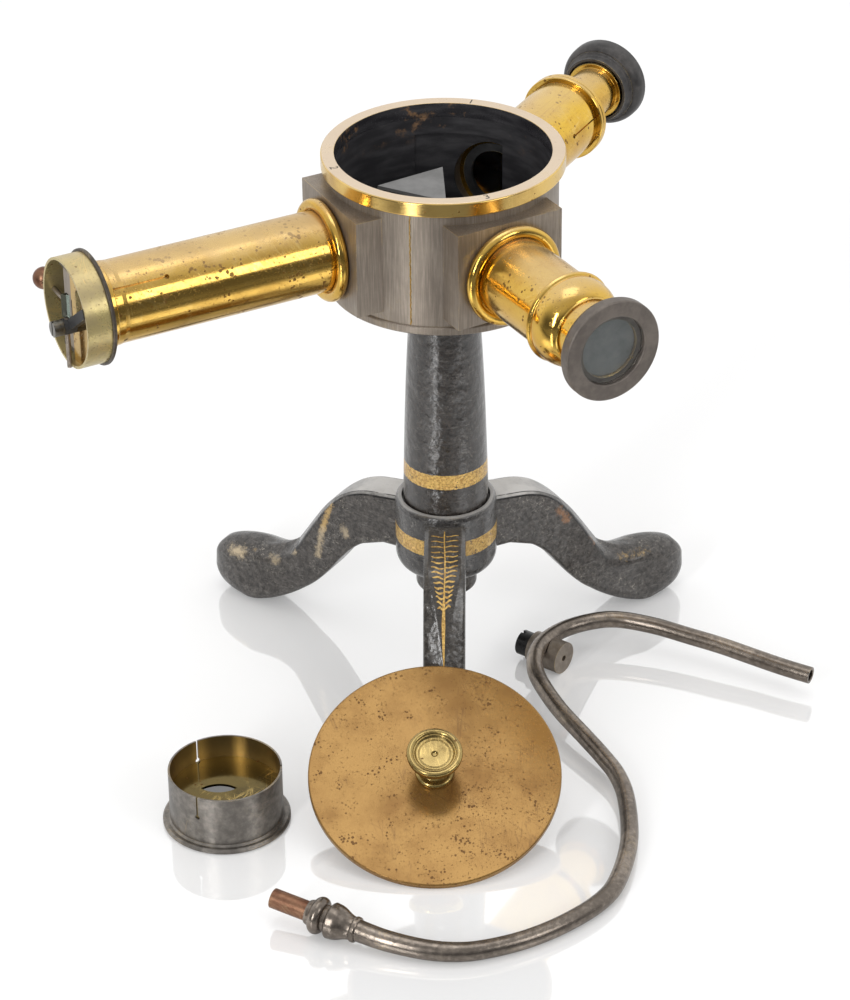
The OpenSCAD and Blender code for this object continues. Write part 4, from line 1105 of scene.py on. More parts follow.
# The ring's pale top is painted sheen of overhead light as well as dust.
RING_BRASS = Brass("ring_brass", Slot.BRASS, bright=(0.84, 0.58, 0.19), deep=(0.52, 0.32, 0.10),
                   haze=(0.80, 0.66, 0.52), rough=0.2, clouds=0.8, spots=0.6, rings=0.5, dust_and_sheen=0.85)
OLIVE = Brass("olive_brass", Slot.OLIVE, bright=(0.62, 0.51, 0.22), deep=(0.40, 0.32, 0.19),
              rough=0.5, clouds=1.0, dust_and_sheen=0.25, metal=0.65)
AMBER = Brass("amber_brass", Slot.AMBER, bright=(0.58, 0.37, 0.09), deep=(0.26, 0.15, 0.04),
              rough=0.22, clouds=0.6, dust_and_sheen=0.0)
LID = Brass("lid_brass", Slot.LID, bright=(0.36, 0.205, 0.062), deep=(0.22, 0.105, 0.026),
            scored=(0.13, 0.062, 0.022), rough=0.42, spots=1.15, clouds=0.7, rings=0.5, metal=0.6,
            dust_and_sheen=0.0, fine=640.0)
# The draw tube's brass is darkened: painted shade for where it shows through the collimator's slots.
PAINTED_SHADE_BRASS = Brass("painted_shade_brass", Slot.BRASS, bright=(0.40, 0.25, 0.08), deep=(0.20, 0.12, 0.04),
                   rough=0.4, dust_and_sheen=0.0)
KNOB_BRASS = Brass("knob_brass", Slot.BRASS, bright=(0.42, 0.31, 0.115), deep=(0.22, 0.155, 0.055),
                   rough=0.4, clouds=1.0, dust_and_sheen=0.10)
CAP_FLOOR = Brass("cap_floor_brass", Slot.AMBER, bright=(0.17, 0.125, 0.045), deep=(0.06, 0.05, 0.028),
                  rough=0.2, clouds=0.9, dust_and_sheen=0.0)
BRONZE = Bronze("bronzed_brass", Slot.BRONZE)
BRONZE_PLAIN = Bronze("bronzed_turned", Slot.BRONZE, grain=CAST)
BRONZE_DARK = Bronze("bronzed_dark", Slot.BRONZE, body=(0.070, 0.059, 0.048), pale=(0.15, 0.128, 0.105),
                     grain=CAST)
CAP_BRASS = TwoSided("cap_brass", Slot.BRONZE)
DRUM = BlackInside("drum_bronze", Slot.BRONZE, outside=BRONZE)
RING = BlackInside("ring_painted", Slot.BRASS, outside=RING_BRASS, radius=47.99)
PIPE = Bronze("pipe_brass", Slot.PIPE, body=(0.165, 0.140, 0.118), pale=(0.34, 0.29, 0.245),
              rough=0.27, wear=0.15, metal=0.9, grain=(420.0, 420.0, 420.0))
COPPER = Bronze("copper_brass", Slot.COPPER, body=(0.17, 0.075, 0.045), pale=(0.36, 0.20, 0.12),
                rough=0.36, wear=0.4, metal=0.85, grain=(120.0, 120.0, 120.0))
IRON = Iron("cast_iron", Slot.IRON, body=(0.118, 0.107, 0.098), haze=(0.74, 0.72, 0.69), dust_and_sheen_above=60.0,
            dust_and_sheen=1.0, flecks=1.0, dark_edge=True, marks=LEG_MARKS, coat=0.3, shine=0.4)
IRON_FRONT = Iron("cast_iron_front", Slot.IRON, body=(0.060, 0.050, 0.040), dust_and_sheen=0.10)
IRON_HUB = Iron("cast_iron_hub", Slot.IRON, low=68.0, high=76.0)
IRON_PILLAR = Iron("cast_iron_pillar", Slot.IRON, body=(0.052, 0.043, 0.037), low=102.2, high=109.5,
                   rub=0.3, dust_and_sheen=0.2, flecks=0.25, coat=0.35, ior=1.62)
GILT = Iron("gilt_leaf", Slot.IRON, low=-1.0, high=400.0, dust_and_sheen=0.0)
BLACK = Plain("black_paint", Slot.BLACK, body=(0.018, 0.018, 0.019), pale=(0.05, 0.05, 0.05), wear=0.25)
CUP = Plain("eyecup_black", Slot.BLACK, body=(0.042, 0.040, 0.040), pale=(0.105, 0.098, 0.094),
            metal=0.35, rough=0.42, wear=0.2)
RING_DARK = Plain("scale_ring_dark", Slot.BRONZE, body=(0.14, 0.12, 0.105), pale=(0.22, 0.19, 0.165),
                  metal=0.6, rough=0.45, wear=0.2)
BLACK_STEEL = Plain("black_steel", Slot.BLACK_STEEL, body=(0.010, 0.010, 0.010), pale=(0.022, 0.022, 0.022),
                    metal=0.2, rough=0.28)
STEEL = Plain("bright_steel", Slot.STEEL, body=(0.16, 0.155, 0.14), pale=(0.36, 0.35, 0.32),
              metal=1.0, rough=0.34, grain=700.0)
PLATE = Plain("grey_plate", Slot.PLATE, body=(0.19, 0.187, 0.182), pale=(0.31, 0.305, 0.30),
              rough=0.5, grain=90.0)
GROUND = Plain("ground_glass", Slot.GLASS, body=(0.11, 0.113, 0.12), pale=(0.29, 0.29, 0.30),
               rough=0.30, grain=70.0)
CLEAR = Glass("clear_glass", Slot.GLASS)
SMALL_PRISM = Glass("small_prism_glass", Slot.PRISM, tint=(0.30, 0.36, 0.31), haze=0.12)
PRISM_GLASS = Glass("prism_glass", Slot.PRISM, tint=(0.80, 0.93, 0.86), ior=1.62)


class Body(Enum):
    """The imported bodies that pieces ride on."""

    STAND = "stand"
    SLIT_HEAD = "slit_head"
    SCALE_SLIDE = "scale_slide_tube"
    EYEPIECE = "eyepiece"
    LID = "lid"
    GAS_PIPE = "gas_pipe"


class Workshop:
    """Makes the pieces, dresses them and says what each one rides on."""

    def add(self, name: str, mesh: bpy.types.Mesh, finish: Finish, body: Body, *nodes: str) -> None:
        """A mesh as a finished piece.

        Args:
            name: the piece's name.
            mesh: its mesh, in metres on the bench.
            finish: its finish.
            body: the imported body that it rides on.
            nodes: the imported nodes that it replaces.
        """
        piece = bpy.data.objects.new(name, mesh)
        bpy.context.scene.collection.objects.link(piece)
        mesh.materials.clear()
        mesh.materials.append(finish.material())
        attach(piece, body.value)
        if nodes:
            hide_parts(*nodes)
        LOG.info("%s: %d faces on %s", name, len(mesh.polygons), body.value)

    def make(self, name: str, skin: Skin, place: Place, finish: Finish, body: Body, *nodes: str) -> None:
        """A surface, whose own axes stand at a place, as a finished piece."""
        self.add(name, skin.mesh(name, place), finish, body, *nodes)

    def dress(self, finish: Finish, *nodes: str) -> None:
        """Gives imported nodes, whose own shape is kept, a finish.

        Args:
            finish: the finish.
            nodes: their names.
        """
        for node in nodes:
            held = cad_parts[node]
            held.data.materials.clear()
            held.data.materials.append(finish.material())
            LOG.info("%s keeps its shape, in %s", node, finish.name)


SHOP = Workshop()


@dataclass
class Tripod:
    """The iron foot: a hub and three legs with flat sides, a facet that closes to a ridge, and round toes."""

    hub_r: float = 23.6
    hub_low: float = 52.0
    hub_bore: float = 8.2
    lip: float = 2.0
    leg_az: float = 28.5
    reach: float = 130.5
    root_r: float = 14.0
    half: float = 9.5
    toe_half: float = 11.0
    leaf_lift: float = 0.10
    facet: float = 7.6
    ridge: float = 0.3
    toe_facet: float = 4.0
    slope: float = 0.6
    nose: float = 113.0
    rows: int = 150

    @staticmethod
    def height(outline: Array, r: Array) -> Array:
        """An outline's height at each distance from the pillar."""
        return np.interp(r, np.maximum.accumulate(outline[:, 0]), outline[:, 1])

    def side(self) -> tuple[Array, Array]:
        """The leg's upper and lower outline, each as distance from the pillar against height.

        Returns:
            The two outlines.
        """
        top = ([(self.root_r, 85.8)] + bow([(35.6, 83), (57.6, 80), (68, 60), (82, 39.5)], 24)
               + bow([(82, 39.5), (88, 34.4), (96, 31.4), (104, 32.0)], 14)
               + bow([(104, 32), (115, 32.6), (self.reach, 29.5), (self.reach, 15)], 24))
        low = ([(self.root_r, 57.5), (29.6, 57)] + bow([(41.6, 52.5), (51.6, 46), (57, 35), (64.5, 27)], 16)
               + bow([(64.5, 27), (76, 14), (90, 4), (108, 0)], 16) + [(115, 0)]
               + bow([(115, 0), (124, 0), (self.reach, 6), (self.reach, 15)], 20))
        return np.asarray(top), np.asarray(low)

    def leg(self) -> Skin:
        """One leg along +X: a facet on top, a slope on each side of it, flat sides and a flat bottom.

        At each distance the section's corners are (w, low), (w, shoulder), (f, high) and their mirror
        images, with shoulder = high - slope (w - f). The corners' roundings grow towards the toe, where
        the section turns into the ellipse (w cos a, middle + tall sin a).

        Returns:
            The leg, with X outward and Z up.
        """
        top, low = self.side()
        r = self.root_r + (self.reach - self.root_r) * np.sin(np.linspace(0, 1, self.rows) * np.pi / 2)
        high, deep = self.height(top, r), self.height(low, r)

        def ease(start: float, end: float) -> Array:
            """A smooth step from 0 to 1 between two distances."""
            t = np.clip((r - start) / (end - start), 0, 1)
            return t * t * (3 - 2 * t)

        nose = np.clip((r - self.nose) / (self.reach - self.nose), 0, 0.998)
        widens, closes, opens = ease(76, 102), ease(46, 82), ease(82, 104)
        rounds, fades = ease(102, 122), ease(70, 90)
        wide = (self.half + (self.toe_half - self.half) * widens) * np.sqrt(1 - nose**2)
        facet = np.minimum(self.facet * (1 - closes) + self.ridge + self.toe_facet * opens, 0.8 * wide)
        shoulder = np.maximum(high - self.slope * (wide - facet), (high + deep) / 2)
        right = [np.stack(pair, -1) for pair in ((wide, deep), (wide, shoulder), (facet, high))]
        left = [pair * (-1.0, 1.0) for pair in reversed(right)]
        sharp, blunt, foot = 0.5 + 2.5 * ease(60, 100), 1 + 4.5 * ease(50, 100), 3 + 8 * ease(66, 90)
        rounding = np.stack([foot, blunt, sharp, sharp, blunt, foot], 1)
        outline, edge = softened(np.stack(right + left, 1), rounding, 6)
        middle, tall = ((high + deep) / 2)[:, None], np.maximum((high - deep) / 2, 0.01)[:, None]
        a = np.arctan2((outline[..., 1] - middle) / tall, outline[..., 0] / wide[:, None])
        oval = np.stack([wide[:, None] * np.cos(a), middle + tall * np.sin(a)], -1)
        outline = outline + (oval - outline) * 0.85 * rounds[:, None, None]
        points = np.concatenate([np.broadcast_to(r[:, None, None], (*outline.shape[:2], 1)), outline], -1)
        edge = edge * (outline[..., 1] > middle) * (1 - fades)[:, None]
        return grid_skin(points, 0.6 * edge, poles=(True, True))

    def strokes(self) -> list[Array]:
        """The gilt ear's strokes and its stem, as flat strips of (r, y) with two edges each.

        The pairs stand evenly down the photograph, whose rows are carried to distances along the leg.
        A stroke runs out as y = hand (gap + t (reach - gap)), leans back by lean t and sways a little.

        Returns:
            Strips x steps x edges x 2, once for each hand and once for the stem.
        """
        photo_row, leg_at = [528, 540, 551, 566, 586, 611, 641], [24, 32, 40, 48, 56, 64, 72]
        first_row, row_step, pairs = 537, 5.1, 15
        gap, lean, stem_from, stem_long = 0.35, 0.7, 26.5, 52
        pair = np.arange(pairs)
        start = np.interp(first_row + row_step * pair, photo_row, leg_at)
        reach = np.interp(start, [27, 50, 64], [6.4, 6.0, 2.8])
        strokes = []
        for hand in (1, -1):
            t = np.linspace(0, 1, 6)[None, :]
            y = hand * (gap + t * (reach[:, None] - gap))
            r = start[:, None] + 0.5 * (hand < 0) - lean * t + 0.3 * np.sin(t * 6 + pair[:, None])
            thick = 0.30 * np.sin(np.pi * (0.12 + 0.8 * t)) + 0.10
            strokes.append(np.stack([np.stack([r - thick, y], -1), np.stack([r + thick, y], -1)], 2))
        t = np.linspace(0, 1, 40)[None, :]
        r = stem_from + t * stem_long
        thick = np.interp(t, [0, 0.6, 0.8, 1.0], [0.25, 0.35, 0.85, 0.3])
        sway = 0.25 * np.sin(r * 0.16)
        stem = np.stack([np.stack([r, sway - thick], -1), np.stack([r, sway + thick], -1)], 2)
        return strokes + [stem]

    def leaf(self) -> Skin:
        """The gilt ear on the front leg's facet: each strip's corners lie a hair above the facet.

        Returns:
            The strips, with the leg's own axes.
        """
        points, quads, base = [], [], 0
        for strip in self.strokes():
            count, steps = strip.shape[:2]
            ids = base + np.arange(count * steps * 2).reshape(count, steps, 2)
            corners = [ids[:, :-1, 0], ids[:, 1:, 0], ids[:, 1:, 1], ids[:, :-1, 1]]
            quads.append(np.stack(corners, -1).reshape(-1, 4))
            points.append(strip.reshape(-1, 2))
            base += count * steps * 2
        flat = np.concatenate(points)
        faces = np.concatenate(quads)
        p = np.column_stack([flat, self.height(self.side()[0], flat[:, 0]) + self.leaf_lift])
        a, b, c = p[faces[:, 0]], p[faces[:, 1]], p[faces[:, 2]]
        down = np.cross(b - a, c - a)[:, 2] < 0
        faces[down] = faces[down][:, ::-1]
        return Skin(p, faces, np.zeros((len(faces), 4, 2)))

    def build(self) -> None:
        """Makes the hub, the legs and the gilt ear."""
        rim, seat, r, low = Pillar.foot_r + 0.5, HUB_SEAT, self.hub_r, self.hub_low
        top = seat + self.lip
        hub = lathe([(self.hub_bore, low), (r - 7.5, low)]
                    + bow([(r - 7.4, low), (r - 2.5, low + 1), (r, low + 4), (r, low + 9)])
                    + [(r, seat - 0.5), (r - 0.6, top - 0.7), (r - 1.5, top), (rim + 0.4, top),
                       (rim, top - 0.5), (rim, seat), (self.hub_bore, seat)], 0.4, 192)
        SHOP.make("foot_hub", hub, Place.upright(0, 0), IRON_HUB, Body.STAND, "tripod_foot")
        for k, name in enumerate(("right", "left", "front")):
            turn = math.radians(self.leg_az + 120 * k)
            c, s = math.cos(turn), math.sin(turn)
            place = Place((STAND[0], STAND[1], 0.0), (c, s, 0.0), (-s, c, 0.0))
            SHOP.make(f"leg_{name}", self.leg(), place, IRON_FRONT if name == "front" else IRON, Body.STAND)
            if name == "front":
                SHOP.make("gilt_ear", self.leaf(), place, GILT, Body.STAND)


@dataclass
class Pillar:
    """The cast pillar with its gilt band, its tenon and the nut under the hub."""

    foot_r: float = 19.7
    head_r: float = 15.6
    tenon_r: float = 8.0
    nut_r: float = 14.2
    nut_low: float = 40.0
    nut_high: float = 52.0

    def build(self) -> None:
        """Makes the pillar and its nut."""
        low, foot, head, tenon = self.nut_low + 2, self.foot_r, self.head_r, self.tenon_r
        shaft = ([(0, low), (tenon - 1, low), (tenon, low + 1), (tenon, HUB_SEAT), (foot, HUB_SEAT)]
                 + bow([(foot, HUB_SEAT + 0.6), (foot - 0.3, 125), (head + 1.8, 163), (head, BOSS_Z - 2)], 20)
                 + [(head, BOSS_Z), (0, BOSS_Z)])

        def uneven(r: Array, s: Array, a: Array) -> Array:
            """The casting is a little out of round, fading to its ends."""
            fade = np.clip((s - 92) / 20, 0, 1) * np.clip((190 - s) / 20, 0, 1)
            return r - fade * (0.10 + 0.10 * np.sin(3 * a + s * 0.05) * np.sin(a + s * 0.03))

        turned = lathe(shaft, 0.3, 160, uneven)
        SHOP.make("pillar_shaft", turned, Place.upright(0, 0), IRON_PILLAR, Body.STAND, "pillar")
        bore, wide, top = tenon + 0.1, self.nut_r, self.nut_high
        nut = ([(bore, self.nut_low)] + arc((wide - 3, self.nut_low + 3), 3, -90, 0, 8)
               + [(wide, top - 1), (wide - 1, top), (bore, top)])
        SHOP.make("foot_nut", lathe(nut, 0.3, 96), Place.upright(0, 0), IRON, Body.STAND, "pillar_nut")


@dataclass
class Drum:
    """The prism drum: base plate, wall with its solder seam, brass ring, blocks, prism and table."""

    wall_r: float = 51.0
    base_r: float = 51.95
    boss_r: float = 20.0
    ring_r: float = 54.0
    ring_bore_r: float = 47.85
    ring_h: float = 6.9
    seam_az: float = 253.0
    bead_r: float = 0.42
    recess_r: float = 10.1
    recess: float = 2.5

    def number(self, text: str, azimuth: float, radius: float, height: float, size: float) -> None:
        """A small stamped number on the ring's flat top.

        Args:
            text: the number.
            azimuth: where it stands round the ring, in degrees.
            radius: how far from the drum's axis.
            height: the ring's top.
            size: the number's height.
        """
        curve = bpy.data.curves.new("stamp", "FONT")
        curve.body, curve.size = text, size * MM
        curve.align_x, curve.align_y = "CENTER", "CENTER"
        curve.extrude, curve.resolution_u = 0.015 * MM, 3
        words = bpy.data.objects.new("stamp", curve)
        bpy.context.scene.collection.objects.link(words)
        bpy.context.view_layer.update()
        mesh = bpy.data.meshes.new_from_object(words.evaluated_get(bpy.context.evaluated_depsgraph_get()))
        bpy.data.objects.remove(words)
        a = math.radians(azimuth)
        spot = Vector((STAND[0] + radius * math.cos(a), STAND[1] + radius * math.sin(a), height)) * MM
        mesh.transform(Matrix.Translation(spot) @ Matrix.Rotation(a + math.pi / 2, 4, "Z"))
        name = f"stamp_{text}_{int(azimuth) % 360}"
        SHOP.add(name, mesh, BLACK, Body.STAND)

    def seam(self) -> Skin:
        """The bead of brass solder down the drum's front: a round bar, half sunk, with an uneven edge.

        Each point is path + bead_r (cos t out + sin t side), where the path wanders to the side.

        Returns:
            The bar.
        """
        s = np.linspace(FLOOR_Z + 0.3, RIM_Z - 0.2, 60)
        a = math.radians(self.seam_az)
        wobble = 0.15 * np.sin(s * 1.7) * np.sin(s * 0.45)
        r = self.wall_r - 0.25
        out = np.array([math.cos(a), math.sin(a), 0.0])
        side = np.array([-math.sin(a), math.cos(a), 0.0])
        path = r * out + wobble[:, None] * side + s[:, None] * (0.0, 0.0, 1.0)
        turn = np.linspace(0, 2 * np.pi, 12, endpoint=False)[None, :, None]
        points = path[:, None] + self.bead_r * (np.cos(turn) * out + np.sin(turn) * side)
        return grid_skin(points, poles=(True, True))

    def build(self) -> None:
        """Makes the turned pieces and the seam, and dresses the wall and the blocks."""
        boss, wide, well, sunk = self.boss_r, self.base_r, self.recess_r, FLOOR_Z - self.recess
        base = [(0, BOSS_Z), (boss - 0.6, BOSS_Z), (boss, BOSS_Z + 0.6), (boss, BASE_Z), (wide - 0.6, BASE_Z),
                (wide, BASE_Z + 0.6), (wide, FLOOR_Z - 0.6), (wide - 0.6, FLOOR_Z), (well, FLOOR_Z),
                (well, sunk), (0, sunk)]
        SHOP.make("drum_floor", lathe(base, 0.3, 200), Place.upright(0, 0), DRUM, Body.STAND, "drum_base")
        top, bore, wide = RIM_Z + self.ring_h, self.ring_bore_r, self.ring_r
        ring = [(bore, RIM_Z), (wide - 0.5, RIM_Z), (wide, RIM_Z + 0.5), (wide, top - 0.6), (wide - 0.6, top),
                (bore + 0.3, top), (bore, top - 0.3)]
        SHOP.make("brass_ring", lathe(ring, 0.25, 256), Place.upright(0, 0), RING, Body.STAND, "top_ring")
        SHOP.make("solder_seam", self.seam(), Place.upright(0, 0), AMBER, Body.STAND)
        SHOP.dress(DRUM, "drum_wall", "collimator_block", "scale_block", "telescope_block")
        SHOP.dress(BRASS, "drum_bolt")
        SHOP.dress(BLACK, "prism_table")
        SHOP.dress(PRISM_GLASS, "prism")
        SHOP.dress(PLATE, "prism_plate")
        for text, azimuth in (("1", 75.0), ("2", 200.0), ("3", -69.0)):
            self.number(text, azimuth, 50.8, top + 0.03, 5.6)


@dataclass
class MainTubes:
    """The three brass tubes with their collars, cells and lenses."""

    tube_r: float = 18.25
    bore_r: float = 16.65
    face: float = 56.5
    collar_r: float = 23.3
    collar_t: float = 5.4
    inner_end: float = 49.0
    scale_end: float = 102.0

    def collar(self) -> Skin:
        """A rounded collar with a fine inner step.

        Returns:
            The collar, on the tube's axis.
        """
        bead = self.collar_t / 2
        mid = self.collar_r - bead
        inner = self.tube_r + 0.05
        top = self.face + bead
        return lathe([(inner, self.face), (mid, self.face)] + arc((mid, top), bead, -90, 140, 20)
                     + [(inner + 0.9, top + 1.9), (inner + 0.6, top + 1.4), (inner, top + 1.4)], 0.15, 160)

    def build(self) -> None:
        """Makes the collars and the scale tube, and dresses the slotted tubes and the optics."""
        for name, arm, node in (("slit_arm_collar", SLIT_ARM, "collimator_collar"),
                                ("scale_arm_collar", SCALE_ARM, "scale_collar"),
                                ("view_arm_collar", VIEW_ARM, "telescope_collar")):
            SHOP.make(name, self.collar(), Place.arm(*arm), BRASS, Body.STAND, node)
        SHOP.dress(PALE_BRASS, "collimator_tube")
        SHOP.dress(VIEW_BRASS, "telescope_tube")
        bore, r, low, high = self.bore_r, self.tube_r, self.inner_end, self.scale_end
        tube = lathe([(bore, low), (r, low), (r, high), (bore, high)], 0.2, 160)
        SHOP.make("scale_arm_tube", tube, Place.arm(*SCALE_ARM), SCALE_BRASS, Body.STAND, "scale_tube")
        SHOP.dress(BLACK, "collimator_cell", "scale_cell", "objective_cell")
        SHOP.dress(CLEAR, "collimator_lens", "scale_lens", "objective_lens")


@dataclass
class SlitHead:
    """The head that slides in the collimator: flange, pot, jaws, screw and comparison prism."""

    tube_end: float = 163.5
    draw_r: float = 16.6
    flange_r: float = 25.6
    shoulder_r: float = 20.45
    pot_back: float = 169.3
    draw_wall: float = 1.2
    draw_len: float = 45.0

    def build(self) -> None:
        """Makes the flange, in two pieces, and the draw tube, and dresses the rest."""
        arm = Place.arm(*SLIT_ARM)
        r, w, f = self.draw_r, self.shoulder_r, self.flange_r
        back, front, inner = self.tube_end + 0.5, self.pot_back, self.draw_r - self.draw_wall
        step, end = back + 3.5, self.tube_end - self.draw_len
        shoulder = [(r + 0.05, back), (w - 0.3, back), (w, back + 0.4), (w, back + 2.6), (w - 0.6, step),
                    (r + 0.05, step)]
        SHOP.make("slit_back_shoulder", lathe(shoulder, 0.2, 160), arm, BRASS, Body.SLIT_HEAD, "slit_flange")
        flange = [(inner, step), (f - 0.3, step), (f, step + 0.4), (f, front - 0.4), (f - 0.3, front),
                  (inner, front)]
        disc = lathe(flange, 0.2, 160)
        SHOP.make("slit_back_flange", disc, arm, BRONZE_DARK, Body.SLIT_HEAD, "slit_flange")
        tube = [(inner, end), (r, end), (r, step), (inner, step)]
        # Painted shade: the draw tube is darkened where it shows through the slots.
        SHOP.make("slit_slide_tube", lathe(tube, 0.2, 120), arm, PAINTED_SHADE_BRASS, Body.SLIT_HEAD, "slit_draw_tube")
        SHOP.dress(OLIVE, "slit_pot")
        SHOP.dress(BRONZE_DARK, "slit_floor")
        SHOP.dress(AMBER, "fixed_jaw")
        SHOP.dress(BRONZE, "moving_jaw")
        SHOP.dress(BLACK, "comparison_bracket")
        SHOP.dress(STEEL, "comparison_screw")
        SHOP.dress(BRONZE_PLAIN, "comparison_rod", "slit_screw")
        SHOP.dress(SMALL_PRISM, "comparison_prism")
        SHOP.dress(COPPER, "slit_knob")


@dataclass
class ScaleTube:
    """The scale tube's rounded bezel, draw tube, dark ring and glass."""

    start: float = 102.0
    bore_r: float = 14.5
    tube_r: float = 18.25
    bead_r: float = 21.0
    nose: float = 118.5
    ring_r: float = 22.9
    ring_front: float = 138.6
    ring_t: float = 7.4
    glass_r: float = 15.55

    def build(self) -> None:
        """Makes the bezel, the draw tube and the ring, and dresses the glass."""
        arm = Place.arm(*SCALE_ARM)
        b, s = self.bead_r, self.start
        bore, seat, nose = self.bore_r, MainTubes.bore_r - 0.05, self.nose
        bezel = ([(bore, s - 8), (seat, s - 8), (seat, s), (self.tube_r + 0.2, s), (b - 0.7, s + 0.3),
                  (b, s + 1.3), (b - 0.4, s + 2.4), (b - 1.1, s + 3)]
                 + bow([(b - 1.1, s + 3.4), (b - 0.2, s + 9), (b - 3, nose - 2.2),
                        (bore + 0.9, nose - 0.6)], 24)
                 + [(bore + 0.6, nose), (bore, nose)])
        SHOP.make("scale_bell", lathe(bezel, 0.25, 160), arm, BRASS, Body.STAND, "scale_bezel")
        ledge = self.ring_front - 3.8
        r = self.bore_r - 0.05
        tube = [(r - 1.25, s - 6), (r, s - 6), (r, ledge - 0.3), (r - 1.25, ledge - 0.3)]
        SHOP.make("scale_slide_tube", lathe(tube, 0.2, 140), arm, BRASS, Body.SCALE_SLIDE, "scale_draw_tube")
        back, f, w, pane = self.ring_front - self.ring_t, self.ring_front, self.ring_r, self.glass_r
        ring = [(r + 0.05, back), (w - 3.4, back), (w - 1, back + 1), (w, back + 3), (w, f - 0.6),
                (w - 0.6, f), (pane + 0.5, f), (pane, f - 0.5), (pane, ledge), (r - 1.2, ledge),
                (r - 1.2, ledge - 0.27), (r + 0.05, ledge - 0.27)]
        SHOP.make("scale_dark_ring", lathe(ring, 0.3, 180), arm, RING_DARK, Body.SCALE_SLIDE, "scale_ring")
        SHOP.dress(CLEAR, "scale_glass")
        SHOP.dress(GROUND, "scale_slide")


@dataclass
class Telescope:
    """The telescope's flange, draw tube and eyecup."""

    tube_end: float = 122.0
    bore_r: float = 11.75
    flange_r: float = 20.6
    cup_r: float = 20.5
    cup_front: float = 170.2
    cup_len: float = 14.0
    eye_r: float = 4.0
    sight_r: float = 6.3

    def build(self) -> None:
        """Makes the flange, the draw tube and the eyecup, and dresses the lenses."""
        arm = Place.arm(*VIEW_ARM)
        e, b, w = self.tube_end, self.bore_r, self.flange_r
        front = e + 4
        seat, tube_r = MainTubes.bore_r - 0.05, MainTubes.tube_r + 0.05
        flange = [(b, e - 24), (seat, e - 24), (seat, e), (tube_r, e), (tube_r, e - 1.5), (w - 0.4, e - 1.5),
                  (w, e - 1), (w, e + 0.6), (w - 0.35, e + 0.9), (w, e + 1.2), (w, front - 0.8),
                  (w - 0.8, front), (b, front)]
        SHOP.make("view_end_flange", lathe(flange, 0.15, 160), arm, BRASS, Body.STAND, "telescope_flange")
        back = self.cup_front - self.cup_len
        lip, r = back + 1.2, b - 0.05
        tube = [(r - 1.1, e - 46), (r, e - 46), (r, lip - 2), (r + 1.9, lip - 2), (r + 1.9, lip), (r, lip),
                (r, back + 5), (r - 1.1, back + 5)]
        SHOP.make("eyepiece_slide_tube", lathe(tube, 0.3, 140), arm, BRASS, Body.EYEPIECE, "eyepiece_tube")
        w, f, bore, eye, sight = self.cup_r, self.cup_front, b, self.eye_r, self.sight_r
        recess = bore + 2.8
        cup = ([(recess, back), (recess + 1.2, back)]
               + bow([(recess + 1.2, back), (recess + 1.8, back + 3.0), (w - 5, back + 3.6),
                      (w - 3.1, back + 4.6)], 10)
               + [(w - 3.1, back + 5.2), (w - 2.6, back + 5.2)]
               + bow([(w - 2.6, back + 5.2), (w - 0.9, back + 6.2), (w, back + 8.0), (w, f - 3.4)], 10)
               + [(w, f - 0.8), (w - 0.8, f), (w - 2, f)]
               + bow([(w - 2, f), (w - 5, f - 3.5), (7, f - 5), (eye, f - 5)], 12)
               + [(eye, f - 7), (sight, f - 7), (sight, back + 5), (bore, back + 5), (bore, back + 3.2),
                  (recess, back + 3.2)])
        SHOP.make("eye_cup", lathe(cup, 0.25, 160), arm, CUP, Body.EYEPIECE, "eyecup")
        SHOP.dress(CLEAR, "eye_lens", "field_lens")


@dataclass
class Lid:
    """The drum's lid, leaning on the front toe, with its turned knob."""

    r: float = 56.0
    thick: float = 1.2
    edge: float = 2.9
    inner: float = 54.2
    tilt: float = 24.3
    x: float = -6.8
    y: float = -134.2
    knob_r: float = 12.15
    knob_h: float = 19.0

    def place(self) -> Place:
        """The lid's own axes: Z out of its top face, tilted back, with the low edge on the bench.

        Returns:
            The lid's place.
        """
        a = math.radians(self.tilt)
        z = self.r * math.sin(a) + self.edge * math.cos(a)
        return Place((STAND[0] + self.x, STAND[1] + self.y, z), (1.0, 0.0, 0.0),
                     (0.0, math.cos(a), math.sin(a)), (0.0, -math.sin(a), math.cos(a)))

    def build(self) -> None:
        """Makes the plate and the knob."""
        r, e = self.r, self.edge
        plate = [(0, 0), (r - 0.5, 0), (r, -0.5), (r, -e), (self.inner, -e), (self.inner, -self.thick),
                 (0, -self.thick)]
        SHOP.make("lid_disc", lathe(plate, 0.3, 220), self.place(), LID, Body.LID, "lid_plate")
        k, h = self.knob_r, self.knob_h
        knob = ([(0, 0.02), (7.4, 0.02)] + arc((7.2, 1.5), 1.5, -60, 120, 10)
                + bow([(5.6, 3), (4.2, 5), (4.2, 8), (5.2, h - 8)], 14)
                + bow([(5.2, h - 8), (7, h - 5.6), (k - 0.6, h - 6), (k, h - 3)], 14)
                + arc((k - 1.4, h - 1.6), 1.6, 0, 160, 12)
                + [(k - 3.2, h - 1), (k - 4, h - 1.9), (k - 4.8, h - 2), (k - 5.2, h - 1.8), (k - 5.6, h - 2),
                   (1.5, h - 2), (0.9, h - 2.7), (0, h - 2.8)])
        SHOP.make("lid_handle", lathe(knob, 0.12, 120), self.place(), KNOB_BRASS, Body.LID, "lid_knob")


@dataclass
class Cap:
    """The slit cap that stands on its flange."""

    def build(self) -> None:
        """Dresses the shell and the inner plate."""
        SHOP.dress(CAP_BRASS, "cap_shell")
        SHOP.dress(CAP_FLOOR, "cap_plate")


